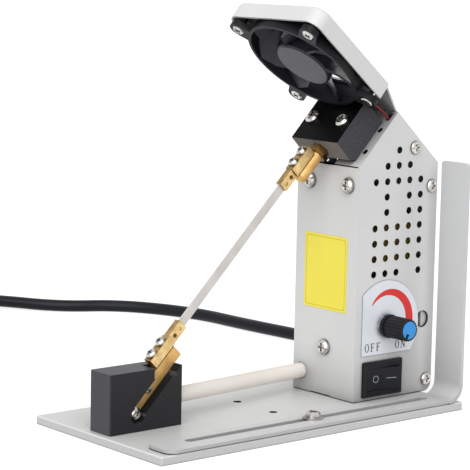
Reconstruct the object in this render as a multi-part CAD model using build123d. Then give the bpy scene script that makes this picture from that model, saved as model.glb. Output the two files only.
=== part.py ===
from build123d import *
import math
import os

# Bench-top hot knife for ribbon and webbing. All sizes in mm.
# X runs along the base from the blade's foot to the housing, Z is up,
# -Y is the side with the dial. The origin lies on the floor under the middle of the tool.

# Base plate
plate_length = 186.0
plate_width = 95.6
plate_thickness = 4.0
plate_edge = 0.8
work_y = 2.4
spare_hole = 4.2
spare_hole_from_end = 95.5
spare_hole_pitch = 26.5
flange_screw_1 = 10.0
flange_screw_2 = 22.0
flange_screw_in = 6.0
block_screw_1 = 32.6
block_screw_2 = 10.6
block_screw_y = 5.0
block_screw_depth = 11.0

# Housing of folded sheet
sheet = 1.2
housing_length = 53.0
housing_width = 44.0
eave_height = 114.8
roof_angle = 46.5
rear_angle = 42.389
housing_corner = 5.0
floor_flange = 10.0
cover_flange = 7.3
cover_lip = 14.0
cover_gap = 0.05
seam = 0.6
vent_hole = 3.5
vent_pitch = 7.5
vent_back = 26.4
vent_over_eave = 7.3
lead_hole = 8.6
lead_hole_back = 7.6
lead_hole_height = 37.0
roof_screw_back = 16.3
roof_screw_rise = 8.0
side_screw_back = 4.2
side_screw_drop = 11.4
foot_screw_back = 4.0
foot_screw_rise = 6.4
roof_hole = 3.0
foot_line = 0.4
foot_line_depth = 0.5
foot_notch = 0.8
foot_notch_near = 5.9
foot_notch_far = 8.3

# Screws
head = 7.2
head_height = 2.4
shank = 4.0
small_head = 4.9
small_head_height = 1.8
small_shank = 3.0
pan_head = 6.1
pan_head_height = 1.3
screw_gap = 0.2
nut_flats = 7.0
nut_height = 2.4
sunk_depth = 2.0

# Dial, control shaft and knob
dial_radius = 22.2
dial_left = 15.6
dial_drop = 14.0
dial_thickness = 0.4
knob_back = 20.1
knob_in_height = 36.5
knob_diameter = 11.0
knob_length = 14.7
knob_gap = 1.6
knob_ribs = 20
rib_depth = 0.35
cap_diameter = 8.7
cap_depth = 0.8
cap_proud = 0.25
pointer_angle = 25.0
pointer_width = 2.0
pointer_start = 2.0
shaft_diameter = 6.0
bushing_wall = 0.7
control_diameter = 16.5
control_depth = 9.0
run_gap = 0.05
press_gap = 0.03

# Rocker switch
bezel_length = 25.8
bezel_height = 17.2
bezel_proud = 2.0
bezel_edge = 0.7
switch_back = 18.4
switch_in_height = 10.6
switch_depth = 17.0
rocker_length = 18.8
rocker_height = 10.6
rocker_side_gap = 0.3
rocker_end_gap = 0.85
rocker_half_angle = 9.0
rocker_dish = 1.6
rocker_pivot = -0.6
rocker_pin = 2.0
rocker_pin_length = 0.6
rocker_depth = 3.4

# Blade and its two clamps, along one slanted line
blade_span = 84.3
blade_width = 4.5
blade_thickness = 0.6
blade_grip = 8.8
slit_gap = 0.05
holder_length = 24.2
holder_below = 2.5
holder_above = 2.9
holder_width = 5.0
nose_length = 9.4
nose_width = 3.4
nose_above = 2.8
seat_line = 0.4
seat_line_depth = 0.5
clamp_screw_1 = 13.5
clamp_screw_2 = 20.55
set_screw = 2.0
set_screw_at = 6.7
punch_at = 2.6
punch_size = 1.5

# Insulating blocks and electrodes
lower_block_length = 41.0
lower_block_width = 15.5
lower_block_height = 28.0
lower_block_from_end = 3.7
foot_in_block = 12.574
foot_rise = 4.595
groove_gap = 0.1
groove_left = 1.4
mouth_length = 12.6
mouth_drop = 4.8
bar_thickness = 6.0
bar_overlap = 13.4
bar_length = 41.4
bar_screw_from_end = 4.5
bar_head = 6.6
bar_head_height = 3.2
bar_washer = 6.6
foot_pocket = 8.6
washer_thickness = 0.8
grub_from_end = 17.9
rod_diameter = 6.4
rod_flat = 0.2
rod_overlap = 14.3
rod_in_block = 16.0
rod_nut_flats = 7.8
rod_nut_height = 4.0
rod_free = 5.507
rod_over_roof = 8.815
upper_block_width = 32.7
upper_block_start = 1.5
upper_block_length = 27.0
upper_block_thickness = 15.4
upper_block_chamfer = 3.0
upper_block_screw = 13.3
upper_block_screw_y = 10.7
conduit_diameter = 7.5
conduit_bore = 4.0
conduit_gap = 0.4
conduit_wall_y = 16.3
conduit_wall_height = 9.9
conduit_block_y = 0.5
conduit_block_height = 11.9
conduit_in_block = 7.0
conduit_in_housing = 6.0
conductor_diameter = 2.6
sleeve_diameter = 3.0
sleeve_from_eave = 3.4
sleeve_in_block = 4.6
sleeve_inside = 6.0
eave_notch = 8.0
eave_notch_drop = 0.3

# Fan and its tray
fan_size = 60.0
fan_depth = 12.0
fan_hole_pitch = 50.0
fan_ring_wall = 1.6
fan_side_gap = 0.4
fan_tilt = 40.0
ear_radius = 4.6
ear_height = 3.2
ear_recess = 0.9
vane_turn = 36.0
fan_hub = 29.0
hub_wall = 1.6
hub_recess = 0.3
fan_blades = 7
blade_tip_gap = 0.6
vane_thickness = 1.1
motor_plate = 2.4
fan_shaft = 2.5
bearing_wall = 2.2
stator_gap = 0.6
strut_width = 3.0
tray_sheet = 1.0
tray_wall = 8.3
tray_corner = 7.0
tray_bend = 2.0
tray_side_end = 26.0
tray_opening = 52.0
tongue_rise = 17.0
tongue_bend_at = 30.2
tongue_half_start = 28.4
tongue_half_end = 20.0
tongue_lap = 14.0
fan_lead_diameter = 1.2
fan_lead_from_ridge = 2.4

# Stop bracket
bracket_sheet = 2.0
bracket_width = 17.5
bracket_inset = 4.5
bracket_leg = 115.1
bracket_bend = 8.5
bracket_corner = 5.0
bracket_top_corner = 1.8
bracket_line = 0.45
bracket_line_depth = 0.5
slot_width = 4.6
slot_in = 10.5
slot_left = 17.1
slot_right = 14.6
stop_screw_from_end = 97.0

# Inside the housing
core_height = 41.0
core_depth = 34.0
core_stack = 18.0
core_leg = 13.0
core_window = 6.5
core_window_length = 21.0
coil_build = 6.0
coil_gap = 0.25
core_bottom = 55.0
core_stand = 10.5
mount_sheet = 1.6
board_thickness = 1.6
board_standoff = 8.0
front_screw_drop = 9.1
mount_near = 18.5
mount_far = 16.5
front_screw_spread = 13.7
front_screw_low = 24.5

# Mains lead, its coil and plug
cord = 7.0
relief_length = 12.0
relief_wide = 12.5
relief_narrow = 9.2
relief_y = 13.1
relief_height = 12.0
coil_radius = 45.0
coil_pitch = 7.6
coil_turns_in = 2.0
coil_turns_out = 1.75
coil_lift = 1.0
coil_tail = 26.0
tie_thickness = 0.8
tie_width = 9.0
tie_gap = 0.4
plug_width = 26.0
plug_length = 36.0
plug_neck = 11.0
pin_length = 17.5

# Places that follow from the sizes
# The clamps hang on one line from the bar's foot in the lower block to the rod in the upper block.
# Its length and the two heights give its lean, and its lean gives the housing's place on the plate.
holder_start = blade_span / 2
holder_end = holder_start + holder_length
bar_top = -holder_end + bar_overlap
bar_bottom = bar_top - bar_length
line_length = holder_end + rod_free - bar_bottom
line_rise = eave_height + upper_block_start * math.sin(math.radians(roof_angle)) - foot_rise
line_lean = math.asin(line_rise / math.hypot(line_length, rod_over_roof))
line_lean += math.atan2(rod_over_roof, line_length)
blade_angle = math.degrees(line_lean)
line_run = line_length * math.cos(line_lean) + rod_over_roof * math.sin(line_lean)
line_run -= upper_block_start * math.cos(math.radians(roof_angle))
front_from_end = lower_block_from_end + foot_in_block + line_run
x_left = -max(plate_length, front_from_end + housing_length) / 2
x_plate = x_left + plate_length
x_front = x_left + front_from_end
x_rear = x_front + housing_length
y_near = work_y - housing_width / 2
y_far = work_y + housing_width / 2
z_top = plate_thickness
z_eave = z_top + eave_height
roof_slope = math.tan(math.radians(roof_angle))
rear_slope = math.tan(math.radians(rear_angle))
ridge_run = housing_length * rear_slope / (roof_slope + rear_slope)
x_ridge = x_front + ridge_run
z_ridge = z_eave + ridge_run * roof_slope
knob_x = x_front + knob_back
knob_z = z_top + knob_in_height
switch_x = x_front + switch_back
switch_z = z_top + switch_in_height
block_right = x_left + lower_block_from_end + lower_block_length
rod_n = -holder_below + rod_flat - rod_diameter / 2
bracket_y = -plate_width / 2 + slot_in
spare_hole_x = x_left + spare_hole_from_end
stop_screw_x = x_left + stop_screw_from_end
board_x = x_front + sheet + board_standoff


def slope(degrees):
    return Vector(math.cos(math.radians(degrees)), 0, math.sin(math.radians(degrees)))


def along(degrees, steps):
    return Vector(slope(degrees).X * steps, 0, slope(degrees).Z * steps)


def heading(degrees):
    return Vector(math.cos(math.radians(degrees)), math.sin(math.radians(degrees)), 0)


# Working planes. In each "up" plane local z points away from the surface.
side = Plane(origin=(0, 0, 0), x_dir=(1, 0, 0), z_dir=(0, -1, 0))
near_wall = Plane(origin=(0, y_near, 0), x_dir=(1, 0, 0), z_dir=(0, -1, 0))
far_wall = Plane(origin=(0, y_far, 0), x_dir=(-1, 0, 0), z_dir=(0, 1, 0))
front_wall = Plane(origin=(x_front, 0, 0), x_dir=(0, -1, 0), z_dir=(-1, 0, 0))
rear_wall = Plane(origin=(x_rear, 0, 0), x_dir=(0, 1, 0), z_dir=(1, 0, 0))
eave = Vector(x_front, work_y, z_eave)
roof_side = Plane(origin=eave, x_dir=slope(roof_angle), z_dir=(0, -1, 0))
roof_up = Plane(origin=eave, x_dir=slope(roof_angle), z_dir=slope(roof_angle + 90))
foot_x = x_left + lower_block_from_end + foot_in_block
bar_foot = Vector(foot_x, work_y, z_top + foot_rise)
blade_mid = bar_foot + along(blade_angle, -bar_bottom)
blade_mid += along(blade_angle + 90, holder_below + bar_thickness / 2)
blade_up = Plane(origin=blade_mid, x_dir=slope(blade_angle), z_dir=slope(blade_angle + 90))
ridge = Vector(x_ridge, work_y, z_ridge)
rear_up = Plane(origin=ridge, x_dir=slope(-rear_angle), z_dir=slope(90 - rear_angle))
tongue_bend = ridge + along(180 - rear_angle, tongue_rise)
tray_mid = tongue_bend + along(180 - fan_tilt, tongue_bend_at)
tray_up = Plane(origin=tray_mid, x_dir=slope(-fan_tilt), z_dir=slope(90 - fan_tilt))

LOW = (Align.MIN, Align.MIN, Align.MIN)
STAND = (Align.CENTER, Align.CENTER, Align.MIN)


def block(plane, a0, a1, b0, b1, c0, c1):
    return plane * Pos(a0, b0, c0) * Box(a1 - a0, b1 - b0, c1 - c0, align=LOW)


def drum(plane, a, b, c0, c1, diameter):
    return plane * Pos(a, b, c0) * Cylinder(diameter / 2, c1 - c0, align=STAND)


def bar(start, end, diameter):
    line = Vector(end) - Vector(start)
    return Plane(origin=start, z_dir=line) * Cylinder(diameter / 2, line.length, align=STAND)


def prism(plane, points, c0, c1):
    outline = make_face(Polyline(*points, close=True))
    return plane * Pos(0, 0, c0) * extrude(outline, amount=c1 - c0, dir=(0, 0, 1))


def slab(points, y0, y1):
    return prism(side, points, -y1, -y0)


def hexagon(plane, a, b, c0, c1, flats):
    shape = RegularPolygon(flats / 2, 6, major_radius=False)
    return plane * Pos(a, b, c0) * extrude(shape, amount=c1 - c0, dir=(0, 0, 1))


def beside(points, gap):
    # The line of points moved sideways to its left, with mitred corners.
    normals = []
    for (x0, z0), (x1, z1) in zip(points, points[1:]):
        size = math.hypot(x1 - x0, z1 - z0)
        normals.append(((z0 - z1) / size, (x1 - x0) / size))
    moved = []
    for i, (x, z) in enumerate(points):
        before = normals[max(i - 1, 0)]
        after = normals[min(i, len(normals) - 1)]
        scale = gap / (1 + before[0] * after[0] + before[1] * after[1])
        moved.append((x + (before[0] + after[0]) * scale, z + (before[1] + after[1]) * scale))
    return moved


def screw(plane, a, b, seat, length, wide=head, tall=head_height, stem=shank):
    top = Cylinder(wide / 2, tall, align=STAND)
    top = chamfer(top.faces().sort_by(Axis.Z)[-1].edges(), 0.4 * tall)
    for turn in (0, 90):
        cross = Rot(0, 0, turn) * Box(0.6 * wide, 0.15 * wide, 1.1 * tall)
        top -= Pos(0, 0, tall) * cross
    return plane * Pos(a, b, seat) * (top + Pos(0, 0, -length) * Cylinder(stem / 2, length, align=STAND))


def group(solids):
    return Compound([piece.solids()[0] for piece in solids])


# Base plate and what fixes things to it
flange_points = [
    (x_front + flange_screw_1, y_near + flange_screw_in),
    (x_front + flange_screw_2, y_near + flange_screw_in),
    (x_front + flange_screw_1, y_far - flange_screw_in),
    (x_front + flange_screw_2, y_far - flange_screw_in),
]
block_points = [
    (block_right - block_screw_1, work_y + block_screw_y),
    (block_right - block_screw_2, work_y + block_screw_y),
]


def base_plate():
    plate = Pos(x_left, -plate_width / 2, 0) * Box(plate_length, plate_width, plate_thickness, align=LOW)
    plate = fillet(plate.edges().filter_by(Axis.Z), plate_edge)
    plate = chamfer(plate.faces().sort_by(Axis.Z)[-1].edges(), plate_edge * 0.75)
    for i in (1, 2):
        plate -= drum(Plane.XY, spare_hole_x, bracket_y + i * spare_hole_pitch, -1, 9, spare_hole)
    plate -= drum(Plane.XY, stop_screw_x, bracket_y, -1, 9, shank + screw_gap)
    for stem, points in ((shank, flange_points), (small_shank, block_points)):
        for x, y in points:
            plate -= drum(Plane.XY, x, y, -1, 9, stem + screw_gap)
            sink = Cone(stem / 2 + sunk_depth, stem / 2, sunk_depth, align=STAND)
            plate -= Pos(x, y, 0) * sink
    return plate


def sunk_screw(x, y, stem, top):
    slack = 0.02
    start = 0.3
    stop = sunk_depth - slack
    cone = Cone(stem / 2 + stop - start, stem / 2, stop - start, align=STAND)
    rod = Pos(0, 0, stop) * Cylinder(stem / 2, top - stop, align=STAND)
    return Pos(x, y, 0) * (Pos(0, 0, start) * cone + rod)


def base_screws():
    long = [sunk_screw(x, y, small_shank, z_top + block_screw_depth) for x, y in block_points]
    short = [sunk_screw(x, y, shank, z_top + sheet + nut_height) for x, y in flange_points]
    return group(long + short)


def flange_nuts():
    nuts = []
    for x, y in flange_points:
        nut = hexagon(Plane.XY, x, y, z_top + sheet, z_top + sheet + nut_height, nut_flats)
        nuts.append(nut - drum(Plane.XY, x, y, 0, 20, shank + 2 * press_gap))
    return group(nuts)


# Housing: shell with front, sides and front slope, and the cover at the rear
side_points = [
    (x_rear - roof_screw_back, z_eave + roof_screw_rise),
    (x_rear - side_screw_back, z_eave - side_screw_drop),
    (x_rear - foot_screw_back, z_top + foot_screw_rise),
]
front_points = [
    (work_y - 1.2 - front_screw_spread, z_eave - front_screw_drop),
    (work_y - 1.2 + front_screw_spread, z_eave - front_screw_drop),
    (work_y - 0.6, z_top + front_screw_low),
]
conduit_start = Vector(x_front, work_y + conduit_wall_y, z_top + conduit_wall_height)
conduit_end = Vector(block_right, work_y + conduit_block_y, z_top + conduit_block_height)
conduit_line = (conduit_end - conduit_start).normalized()
fan_lead_u = ridge_run / math.cos(math.radians(roof_angle)) - fan_lead_from_ridge
fan_lead_y = -18.6


def vent_points():
    # Columns that are punched in each row, counted from the middle one.
    whole = (-2, -1, 0, 1, 2)
    sparse = (-1, 1, 2)
    rows = [(0,), (-1, 0, 1), whole, sparse, sparse, whole, whole, whole, (-2, -1, 0, 2)]
    spots = []
    for row, columns in enumerate(rows):
        z = z_eave + vent_over_eave - row * vent_pitch
        for column in columns:
            spots.append((x_front + vent_back + column * vent_pitch, z))
    return spots


def housing_shell():
    outline = [(x_front, z_top), (x_rear, z_top), (x_rear, z_eave), (x_ridge, z_ridge), (x_front, z_eave)]
    shell = slab(outline, y_near, y_far)
    corner = shell.edges().filter_by(Axis.Y).sort_by_distance((x_rear, work_y, z_top))[0]
    shell = fillet(corner, housing_corner)
    lean = math.radians(roof_angle)
    past = [(x_front, z_top - 9), (x_front, z_eave)]
    past.append((x_rear, z_eave + housing_length * math.tan(lean)))
    inner = [(x, z) for x, z in beside(past, -sheet)]
    hollow = inner + [(x_rear + 9, inner[2][1]), (x_rear + 9, z_top - 9)]
    shell -= slab(hollow, y_near + sheet, y_far - sheet)
    flange_end = x_rear - cover_lip - 0.5
    for y in (y_near + sheet / 2, y_far - floor_flange):
        wide = floor_flange - sheet / 2
        shell += block(Plane.XY, x_front + sheet / 2, flange_end, y, y + wide, z_top, z_top + sheet)
    for x, y in flange_points:
        shell -= drum(Plane.XY, x, y, z_top - 1, z_top + 3, shank + screw_gap)
    deep = -3.0
    for x, z in vent_points():
        shell -= drum(near_wall, x, z, deep, 1, vent_hole)
        shell -= drum(far_wall, -x, z, deep, 1, vent_hole)
    for x, z in side_points:
        shell -= drum(near_wall, x, z, deep, 1, small_shank + screw_gap)
        shell -= drum(far_wall, -x, z, deep, 1, small_shank + screw_gap)
    shell -= drum(near_wall, x_rear - lead_hole_back, z_top + lead_hole_height, deep, 1, lead_hole)
    shell -= drum(near_wall, knob_x, knob_z, deep, 1, shaft_diameter + 2 * bushing_wall + screw_gap)
    half = bezel_length / 2 - 1.5
    high = bezel_height / 2 - 2.0
    shell -= block(near_wall, switch_x - half, switch_x + half, switch_z - high, switch_z + high, deep, 1)
    for y, z in front_points:
        shell -= drum(front_wall, -y, z, deep, 1, shank + screw_gap)
    past_wall = conduit_line * 9
    shell -= bar(conduit_start + past_wall, conduit_start - past_wall, conduit_diameter + conduit_gap)
    past = sleeve_from_eave + sleeve_diameter / 2 + screw_gap
    shell -= block(roof_up, -eave_notch_drop, past, -eave_notch / 2, eave_notch / 2, deep, 1)
    half = seam / 2
    shell -= block(front_wall, -y_far + sheet, -y_near - sheet, z_eave - half, z_eave + half, deep, 1)
    foot = z_top + foot_line
    cut = foot_line_depth
    shell -= block(Plane.XY, x_front - 1, x_front + cut, y_near - 1, y_far + 1, z_top - 1, foot)
    for y0, y1 in ((y_near - 1, y_near + cut), (y_far - cut, y_far + 1)):
        shell -= block(Plane.XY, x_front - 1, x_rear - housing_corner, y0, y1, z_top - 1, foot)
    near = work_y - foot_notch_near
    far = work_y + foot_notch_far
    shell -= block(Plane.XY, x_front - 1, x_front + sheet, near, far, z_top - 1, z_top + foot_notch)
    for u in (9.8, 23.6):
        for y in (-18.4, 18.4):
            shell -= drum(roof_up, u, y, deep, 1, roof_hole)
    for y in (-upper_block_screw_y, upper_block_screw_y):
        shell -= drum(roof_up, upper_block_start + upper_block_screw, y, deep, 1, shank + screw_gap)
    shell -= block(roof_up, fan_lead_u - 3.6, fan_lead_u + 1.2, fan_lead_y - 1.2, fan_lead_y + 1.2, deep, 1)
    return shell


def cover_band(start, stop, y0, y1, corner):
    step_back = 1.4
    top = ridge + along(-rear_angle, step_back)
    path = [(x_rear - cover_lip, z_top), (x_rear, z_top), (x_rear, z_eave), (top.X, top.Z)]
    outer = beside(path, start)
    band = slab(outer + list(reversed(beside(path, stop))), y0, y1)
    edge = band.edges().filter_by(Axis.Y).sort_by_distance((outer[1][0], y0, outer[1][1]))[0]
    return fillet(edge, corner)


def rear_cover():
    y0 = y_near + sheet + cover_gap
    y1 = y_far - sheet - cover_gap
    cover = cover_band(0, cover_flange, y0, y1, housing_corner)
    cover -= cover_band(sheet, cover_flange + 3, y0 + sheet, y1 - sheet, housing_corner - sheet)
    deep = -3.5
    for x, z in side_points:
        cover -= drum(near_wall, x, z, deep, 1, small_shank + screw_gap)
        cover -= drum(far_wall, -x, z, deep, 1, small_shank + screw_gap)
    cover -= drum(rear_wall, work_y + relief_y, z_top + relief_height, deep, 1, relief_narrow + screw_gap)
    for y in (-11, 11):
        cover -= drum(rear_up, tongue_lap * 0.5, y, deep, 1, shank + screw_gap)
    return cover


def side_screws():
    screws = []
    for x, z in side_points:
        screws.append(screw(near_wall, x, z, 0, 3.6, pan_head, pan_head_height, small_shank))
        screws.append(screw(far_wall, -x, z, 0, 3.6, pan_head, pan_head_height, small_shank))
    return group(screws)


def front_screws():
    lengths = (6, 6, board_standoff - 1)
    return group([screw(front_wall, -y, z, 0, n) for (y, z), n in zip(front_points, lengths)])


# Dial, control and knob
def dial_plate():
    disc = Pos(knob_x, knob_z) * Circle(dial_radius)
    wide = 2 * dial_radius
    window = Rectangle(wide, wide, align=(Align.MIN, Align.MIN))
    window = Pos(knob_x - dial_left, knob_z - dial_drop) * window
    plate = near_wall * extrude(disc & window, amount=dial_thickness, dir=(0, 0, 1))
    return plate - drum(near_wall, knob_x, knob_z, -1, 2, shaft_diameter + 2 * bushing_wall + screw_gap)


def potentiometer():
    bushing = shaft_diameter + 2 * bushing_wall
    body = drum(near_wall, knob_x, knob_z, -sheet - control_depth, -sheet, control_diameter)
    body += drum(near_wall, knob_x, knob_z, -sheet, dial_thickness + 1.3, bushing)
    foot = control_diameter / 2
    low = knob_z - foot - 4
    body += block(near_wall, knob_x - foot, knob_x + foot, low, knob_z, -sheet - 4, -sheet - 2.4)
    bore = shaft_diameter + 2 * run_gap
    return body - drum(near_wall, knob_x, knob_z, -sheet - control_depth + 2, 3, bore)


def control_nut():
    nut = hexagon(near_wall, knob_x, knob_z, dial_thickness, dial_thickness + 1.2, 9.6)
    bore = shaft_diameter + 2 * bushing_wall + 2 * press_gap
    return nut - drum(near_wall, knob_x, knob_z, 0, 3, bore)


knob_foot = dial_thickness + knob_gap


def control_shaft():
    low = -sheet - control_depth + 2.2
    return drum(near_wall, knob_x, knob_z, low, knob_foot + 0.75 * knob_length, shaft_diameter)


def knob():
    points = []
    for i in range(2 * knob_ribs):
        radius = knob_diameter / 2 - (rib_depth if i % 2 else 0)
        turn = math.pi * i / knob_ribs
        points.append((knob_x + radius * math.cos(turn), knob_z + radius * math.sin(turn)))
    tip = knob_foot + knob_length
    body = prism(near_wall, points, knob_foot + 1.6, tip)
    body += drum(near_wall, knob_x, knob_z, knob_foot, knob_foot + 2.0, knob_diameter + 0.6)
    seat = tip - cap_depth + cap_proud
    body -= drum(near_wall, knob_x, knob_z, seat, tip + 1, cap_diameter + 2 * press_gap)
    deep = knob_foot + 0.75 * knob_length
    return body - drum(near_wall, knob_x, knob_z, 0, deep, shaft_diameter + 2 * press_gap)


def knob_cap():
    low = knob_foot + knob_length - cap_depth + cap_proud
    cap = drum(near_wall, knob_x, knob_z, low, low + cap_depth, cap_diameter)
    mark = Box(pointer_width, cap_diameter, 9, align=(Align.CENTER, Align.MAX, Align.CENTER))
    mark = Rot(0, 0, -pointer_angle) * Pos(0, -pointer_start, 0) * mark
    return cap - near_wall * Pos(knob_x, knob_z, low) * mark


# Rocker switch
opening_length = rocker_length + 2 * rocker_end_gap
opening_height = rocker_height + 2 * rocker_side_gap


def switch_frame():
    half = bezel_length / 2
    high = bezel_height / 2
    at = near_wall * Pos(switch_x, switch_z, 0)
    panel = Plane(at)
    bezel = block(panel, -half, half, -high, high, 0, bezel_proud)
    bezel = chamfer(bezel.faces().sort_by(Axis.Y)[0].edges(), bezel_edge)
    inner = opening_length / 2 + 1.0
    tall = opening_height / 2 + 0.9
    bezel += block(panel, -inner, inner, -tall, tall, -switch_depth, 0)
    cave = opening_length / 2
    slot = opening_height / 2
    bezel -= block(panel, -cave, cave, -slot, slot, -7, 9)
    pivot = Plane(origin=(switch_x, y_near - rocker_pivot, switch_z))
    reach = rocker_height / 2 + rocker_pin_length + 0.15
    return bezel - drum(pivot, 0, 0, -reach, reach, rocker_pin + 2 * run_gap)


def rocker():
    half = rocker_length / 2
    rise = half * math.tan(math.radians(rocker_half_angle))
    top = rocker_dish - rocker_pivot
    points = [(-half, top + rise), (0, top), (half, top + rise), (half - 0.6, -rocker_depth + 0.6)]
    points += [(3, -rocker_depth), (-3, -rocker_depth), (-half + 0.6, -rocker_depth + 0.6)]
    centre = (switch_x, y_near - rocker_pivot, switch_z)
    pivot = Plane(origin=centre, x_dir=(1, 0, 0), z_dir=(0, 0, -1))
    turned = pivot * Rot(0, 0, rocker_half_angle)
    outline = make_face(Polyline(*points, close=True))
    body = extrude(outline, amount=rocker_height, dir=(0, 0, 1))
    body = Pos(0, 0, -rocker_height / 2) * body
    pin = rocker_height / 2 + rocker_pin_length
    body += Pos(0, 0, -pin) * Cylinder(rocker_pin / 2, 2 * pin, align=STAND)
    return turned * body


def switch_terminals():
    tabs = []
    back = -switch_depth
    for x in (switch_x - 7, switch_x, switch_x + 7):
        tabs.append(block(near_wall, x - 0.4, x + 0.4, switch_z - 2.4, switch_z + 2.4, back - 7, back))
    return group(tabs)


# Blade with its clamps
def blade():
    reach = blade_span / 2 + blade_grip
    half = blade_thickness / 2
    return block(blade_up, -reach, reach, -half, half, -blade_width / 2, blade_width / 2)


def holder(end):
    def piece(s0, s1, wide, low, high):
        a0, a1 = sorted((end * s0, end * s1))
        return block(blade_up, a0, a1, -wide / 2, wide / 2, low, high)

    step = holder_start + nose_length
    body = piece(step, holder_end, holder_width, -holder_below, holder_above)
    body += piece(holder_start, step, nose_width, -holder_below, nose_above)
    slit = blade_thickness + 2 * slit_gap
    over = blade_width / 2 + slit_gap
    body -= piece(holder_start - 1, holder_start + blade_grip + 0.4, slit, -9, over)
    tall = seat_line - holder_below
    line = piece(step, holder_end + 1, holder_width + 2, -holder_below - 1, tall)
    body -= line - piece(step - 1, holder_end + 2, holder_width - 2 * seat_line_depth, -9, 9)
    across = Plane(origin=blade_mid, x_dir=slope(blade_angle), z_dir=(0, -1, 0))
    at = end * (holder_start + set_screw_at)
    body -= drum(across, at, 0, slit / 2 - 0.1, 5, set_screw + 2 * press_gap)
    mark = end * (holder_start + punch_at)
    edge = punch_size / 2
    body -= block(across, mark - edge, mark + edge, -edge, edge, nose_width / 2 - 0.25, 5)
    for at in (clamp_screw_1, clamp_screw_2):
        body -= drum(blade_up, end * (holder_start + at), 0, -9, 9, small_shank + screw_gap)
    return body


def clamp_screws(end, length):
    spots = [end * (holder_start + at) for at in (clamp_screw_1, clamp_screw_2)]
    stem = small_shank
    tall = small_head_height
    return group([screw(blade_up, s, 0, holder_above, length, small_head, tall, stem) for s in spots])


def set_screws():
    across = Plane(origin=blade_mid, x_dir=slope(blade_angle), z_dir=(0, -1, 0))
    low = blade_thickness / 2
    pieces = []
    for end in (-1, 1):
        grub = drum(across, end * (holder_start + set_screw_at), 0, low, nose_width / 2 + 0.15, set_screw)
        at = end * (holder_start + set_screw_at)
        grub -= block(across, at - 0.2, at + 0.2, -3, 3, nose_width / 2 - 0.35, 5)
        pieces.append(grub)
    return group(pieces)


def lower_electrode():
    top = -holder_below
    half = holder_width / 2
    start = bar_bottom + bar_screw_from_end
    piece = block(blade_up, start, bar_top, -half, half, top - bar_thickness, top)
    across = Plane(origin=blade_mid, x_dir=slope(blade_angle), z_dir=(0, -1, 0))
    centre = top - bar_thickness / 2
    piece += drum(across, start, centre, -half, half, bar_thickness)
    piece -= drum(across, bar_bottom + bar_screw_from_end, centre, -9, 9, small_shank + screw_gap)
    piece -= drum(across, bar_bottom + grub_from_end, centre, -9, 9, small_shank + 2 * press_gap)
    for at in (clamp_screw_1, clamp_screw_2):
        piece -= drum(blade_up, -holder_start - at, 0, -holder_below - 5.1, 0, small_shank + 2 * press_gap)
    return piece


def lower_screw_plane():
    centre = -holder_below - bar_thickness / 2
    spot = Vector(bar_bottom + bar_screw_from_end, -holder_width / 2, centre)
    at = blade_up.from_local_coords(spot)
    return Plane(origin=at, x_dir=slope(blade_angle), z_dir=(0, -1, 0))


def terminal_screw():
    return screw(lower_screw_plane(), 0, 0, washer_thickness, 9.5, bar_head, bar_head_height, small_shank)


def terminal_washer():
    ring = drum(lower_screw_plane(), 0, 0, 0, washer_thickness, bar_washer)
    return ring - drum(lower_screw_plane(), 0, 0, -1, 2, small_shank + screw_gap)


def electrode_grub():
    shift = grub_from_end - bar_screw_from_end
    grub = drum(lower_screw_plane(), shift, 0, -9, 0.6, small_shank)
    return grub - block(lower_screw_plane(), shift - 0.3, shift + 0.3, -3, 3, 0, 2)


def lower_block():
    left = block_right - lower_block_length
    half = lower_block_width / 2
    lip = z_top + lower_block_height
    body = block(Plane.XY, left, block_right, work_y - half, work_y + half, z_top, lip)
    body = chamfer(body.edges().filter_by(Axis.Z), 0.5)
    floor_y = holder_width / 2
    right = -holder_below - bar_thickness - groove_gap
    start = bar_bottom + bar_screw_from_end
    body -= block(blade_up, start, bar_top + bar_length, -half - 2, floor_y, right, -groove_left)
    mouth = block_right - 16.2
    end = mouth + mouth_length
    body -= block(Plane.XY, mouth, end, work_y - half - 2, work_y + floor_y, lip - mouth_drop, lip + 1)
    across = Plane(origin=blade_mid, x_dir=slope(blade_angle), z_dir=(0, -1, 0))
    centre = -holder_below - bar_thickness / 2
    body -= drum(across, start, centre, -floor_y, half + 2, foot_pocket)
    body -= drum(across, start, centre, -half + 0.3, half, small_shank + screw_gap)
    body -= drum(across, bar_bottom + grub_from_end, centre, -half + 0.3, half, small_shank + screw_gap)
    for x, y in block_points:
        body -= drum(Plane.XY, x, y, z_top - 1, z_top + block_screw_depth + 1, small_shank + 2 * press_gap)
    bottom = conduit_end + conduit_line * conduit_in_block
    body -= bar(conduit_end - conduit_line * 9, bottom, conduit_diameter + 2 * press_gap)
    deeper = conduit_end + conduit_line * (conduit_in_block + 5)
    return body - bar(conduit_end, deeper, conductor_diameter + 2 * press_gap)


def lead_conduit():
    start = conduit_start - conduit_line * conduit_in_housing
    tube = bar(start, conduit_end + conduit_line * conduit_in_block, conduit_diameter)
    return tube - bar(conduit_start - conduit_line * 30, conduit_end + conduit_line * 30, conduit_bore)


def lead_conductor():
    start = conduit_start - conduit_line * (conduit_in_housing + 3)
    return bar(start, conduit_end + conduit_line * (conduit_in_block + 4.8), conductor_diameter)


# Upper block with the rod electrode
lean_in = math.tan(math.radians(roof_angle - blade_angle))
face_point = roof_side.from_local_coords(Vector(upper_block_start, 0, 0))
face_s = (face_point - blade_mid).dot(slope(blade_angle))


def rod_point(s):
    return blade_up.from_local_coords(Vector(s, 0, rod_n))


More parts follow.
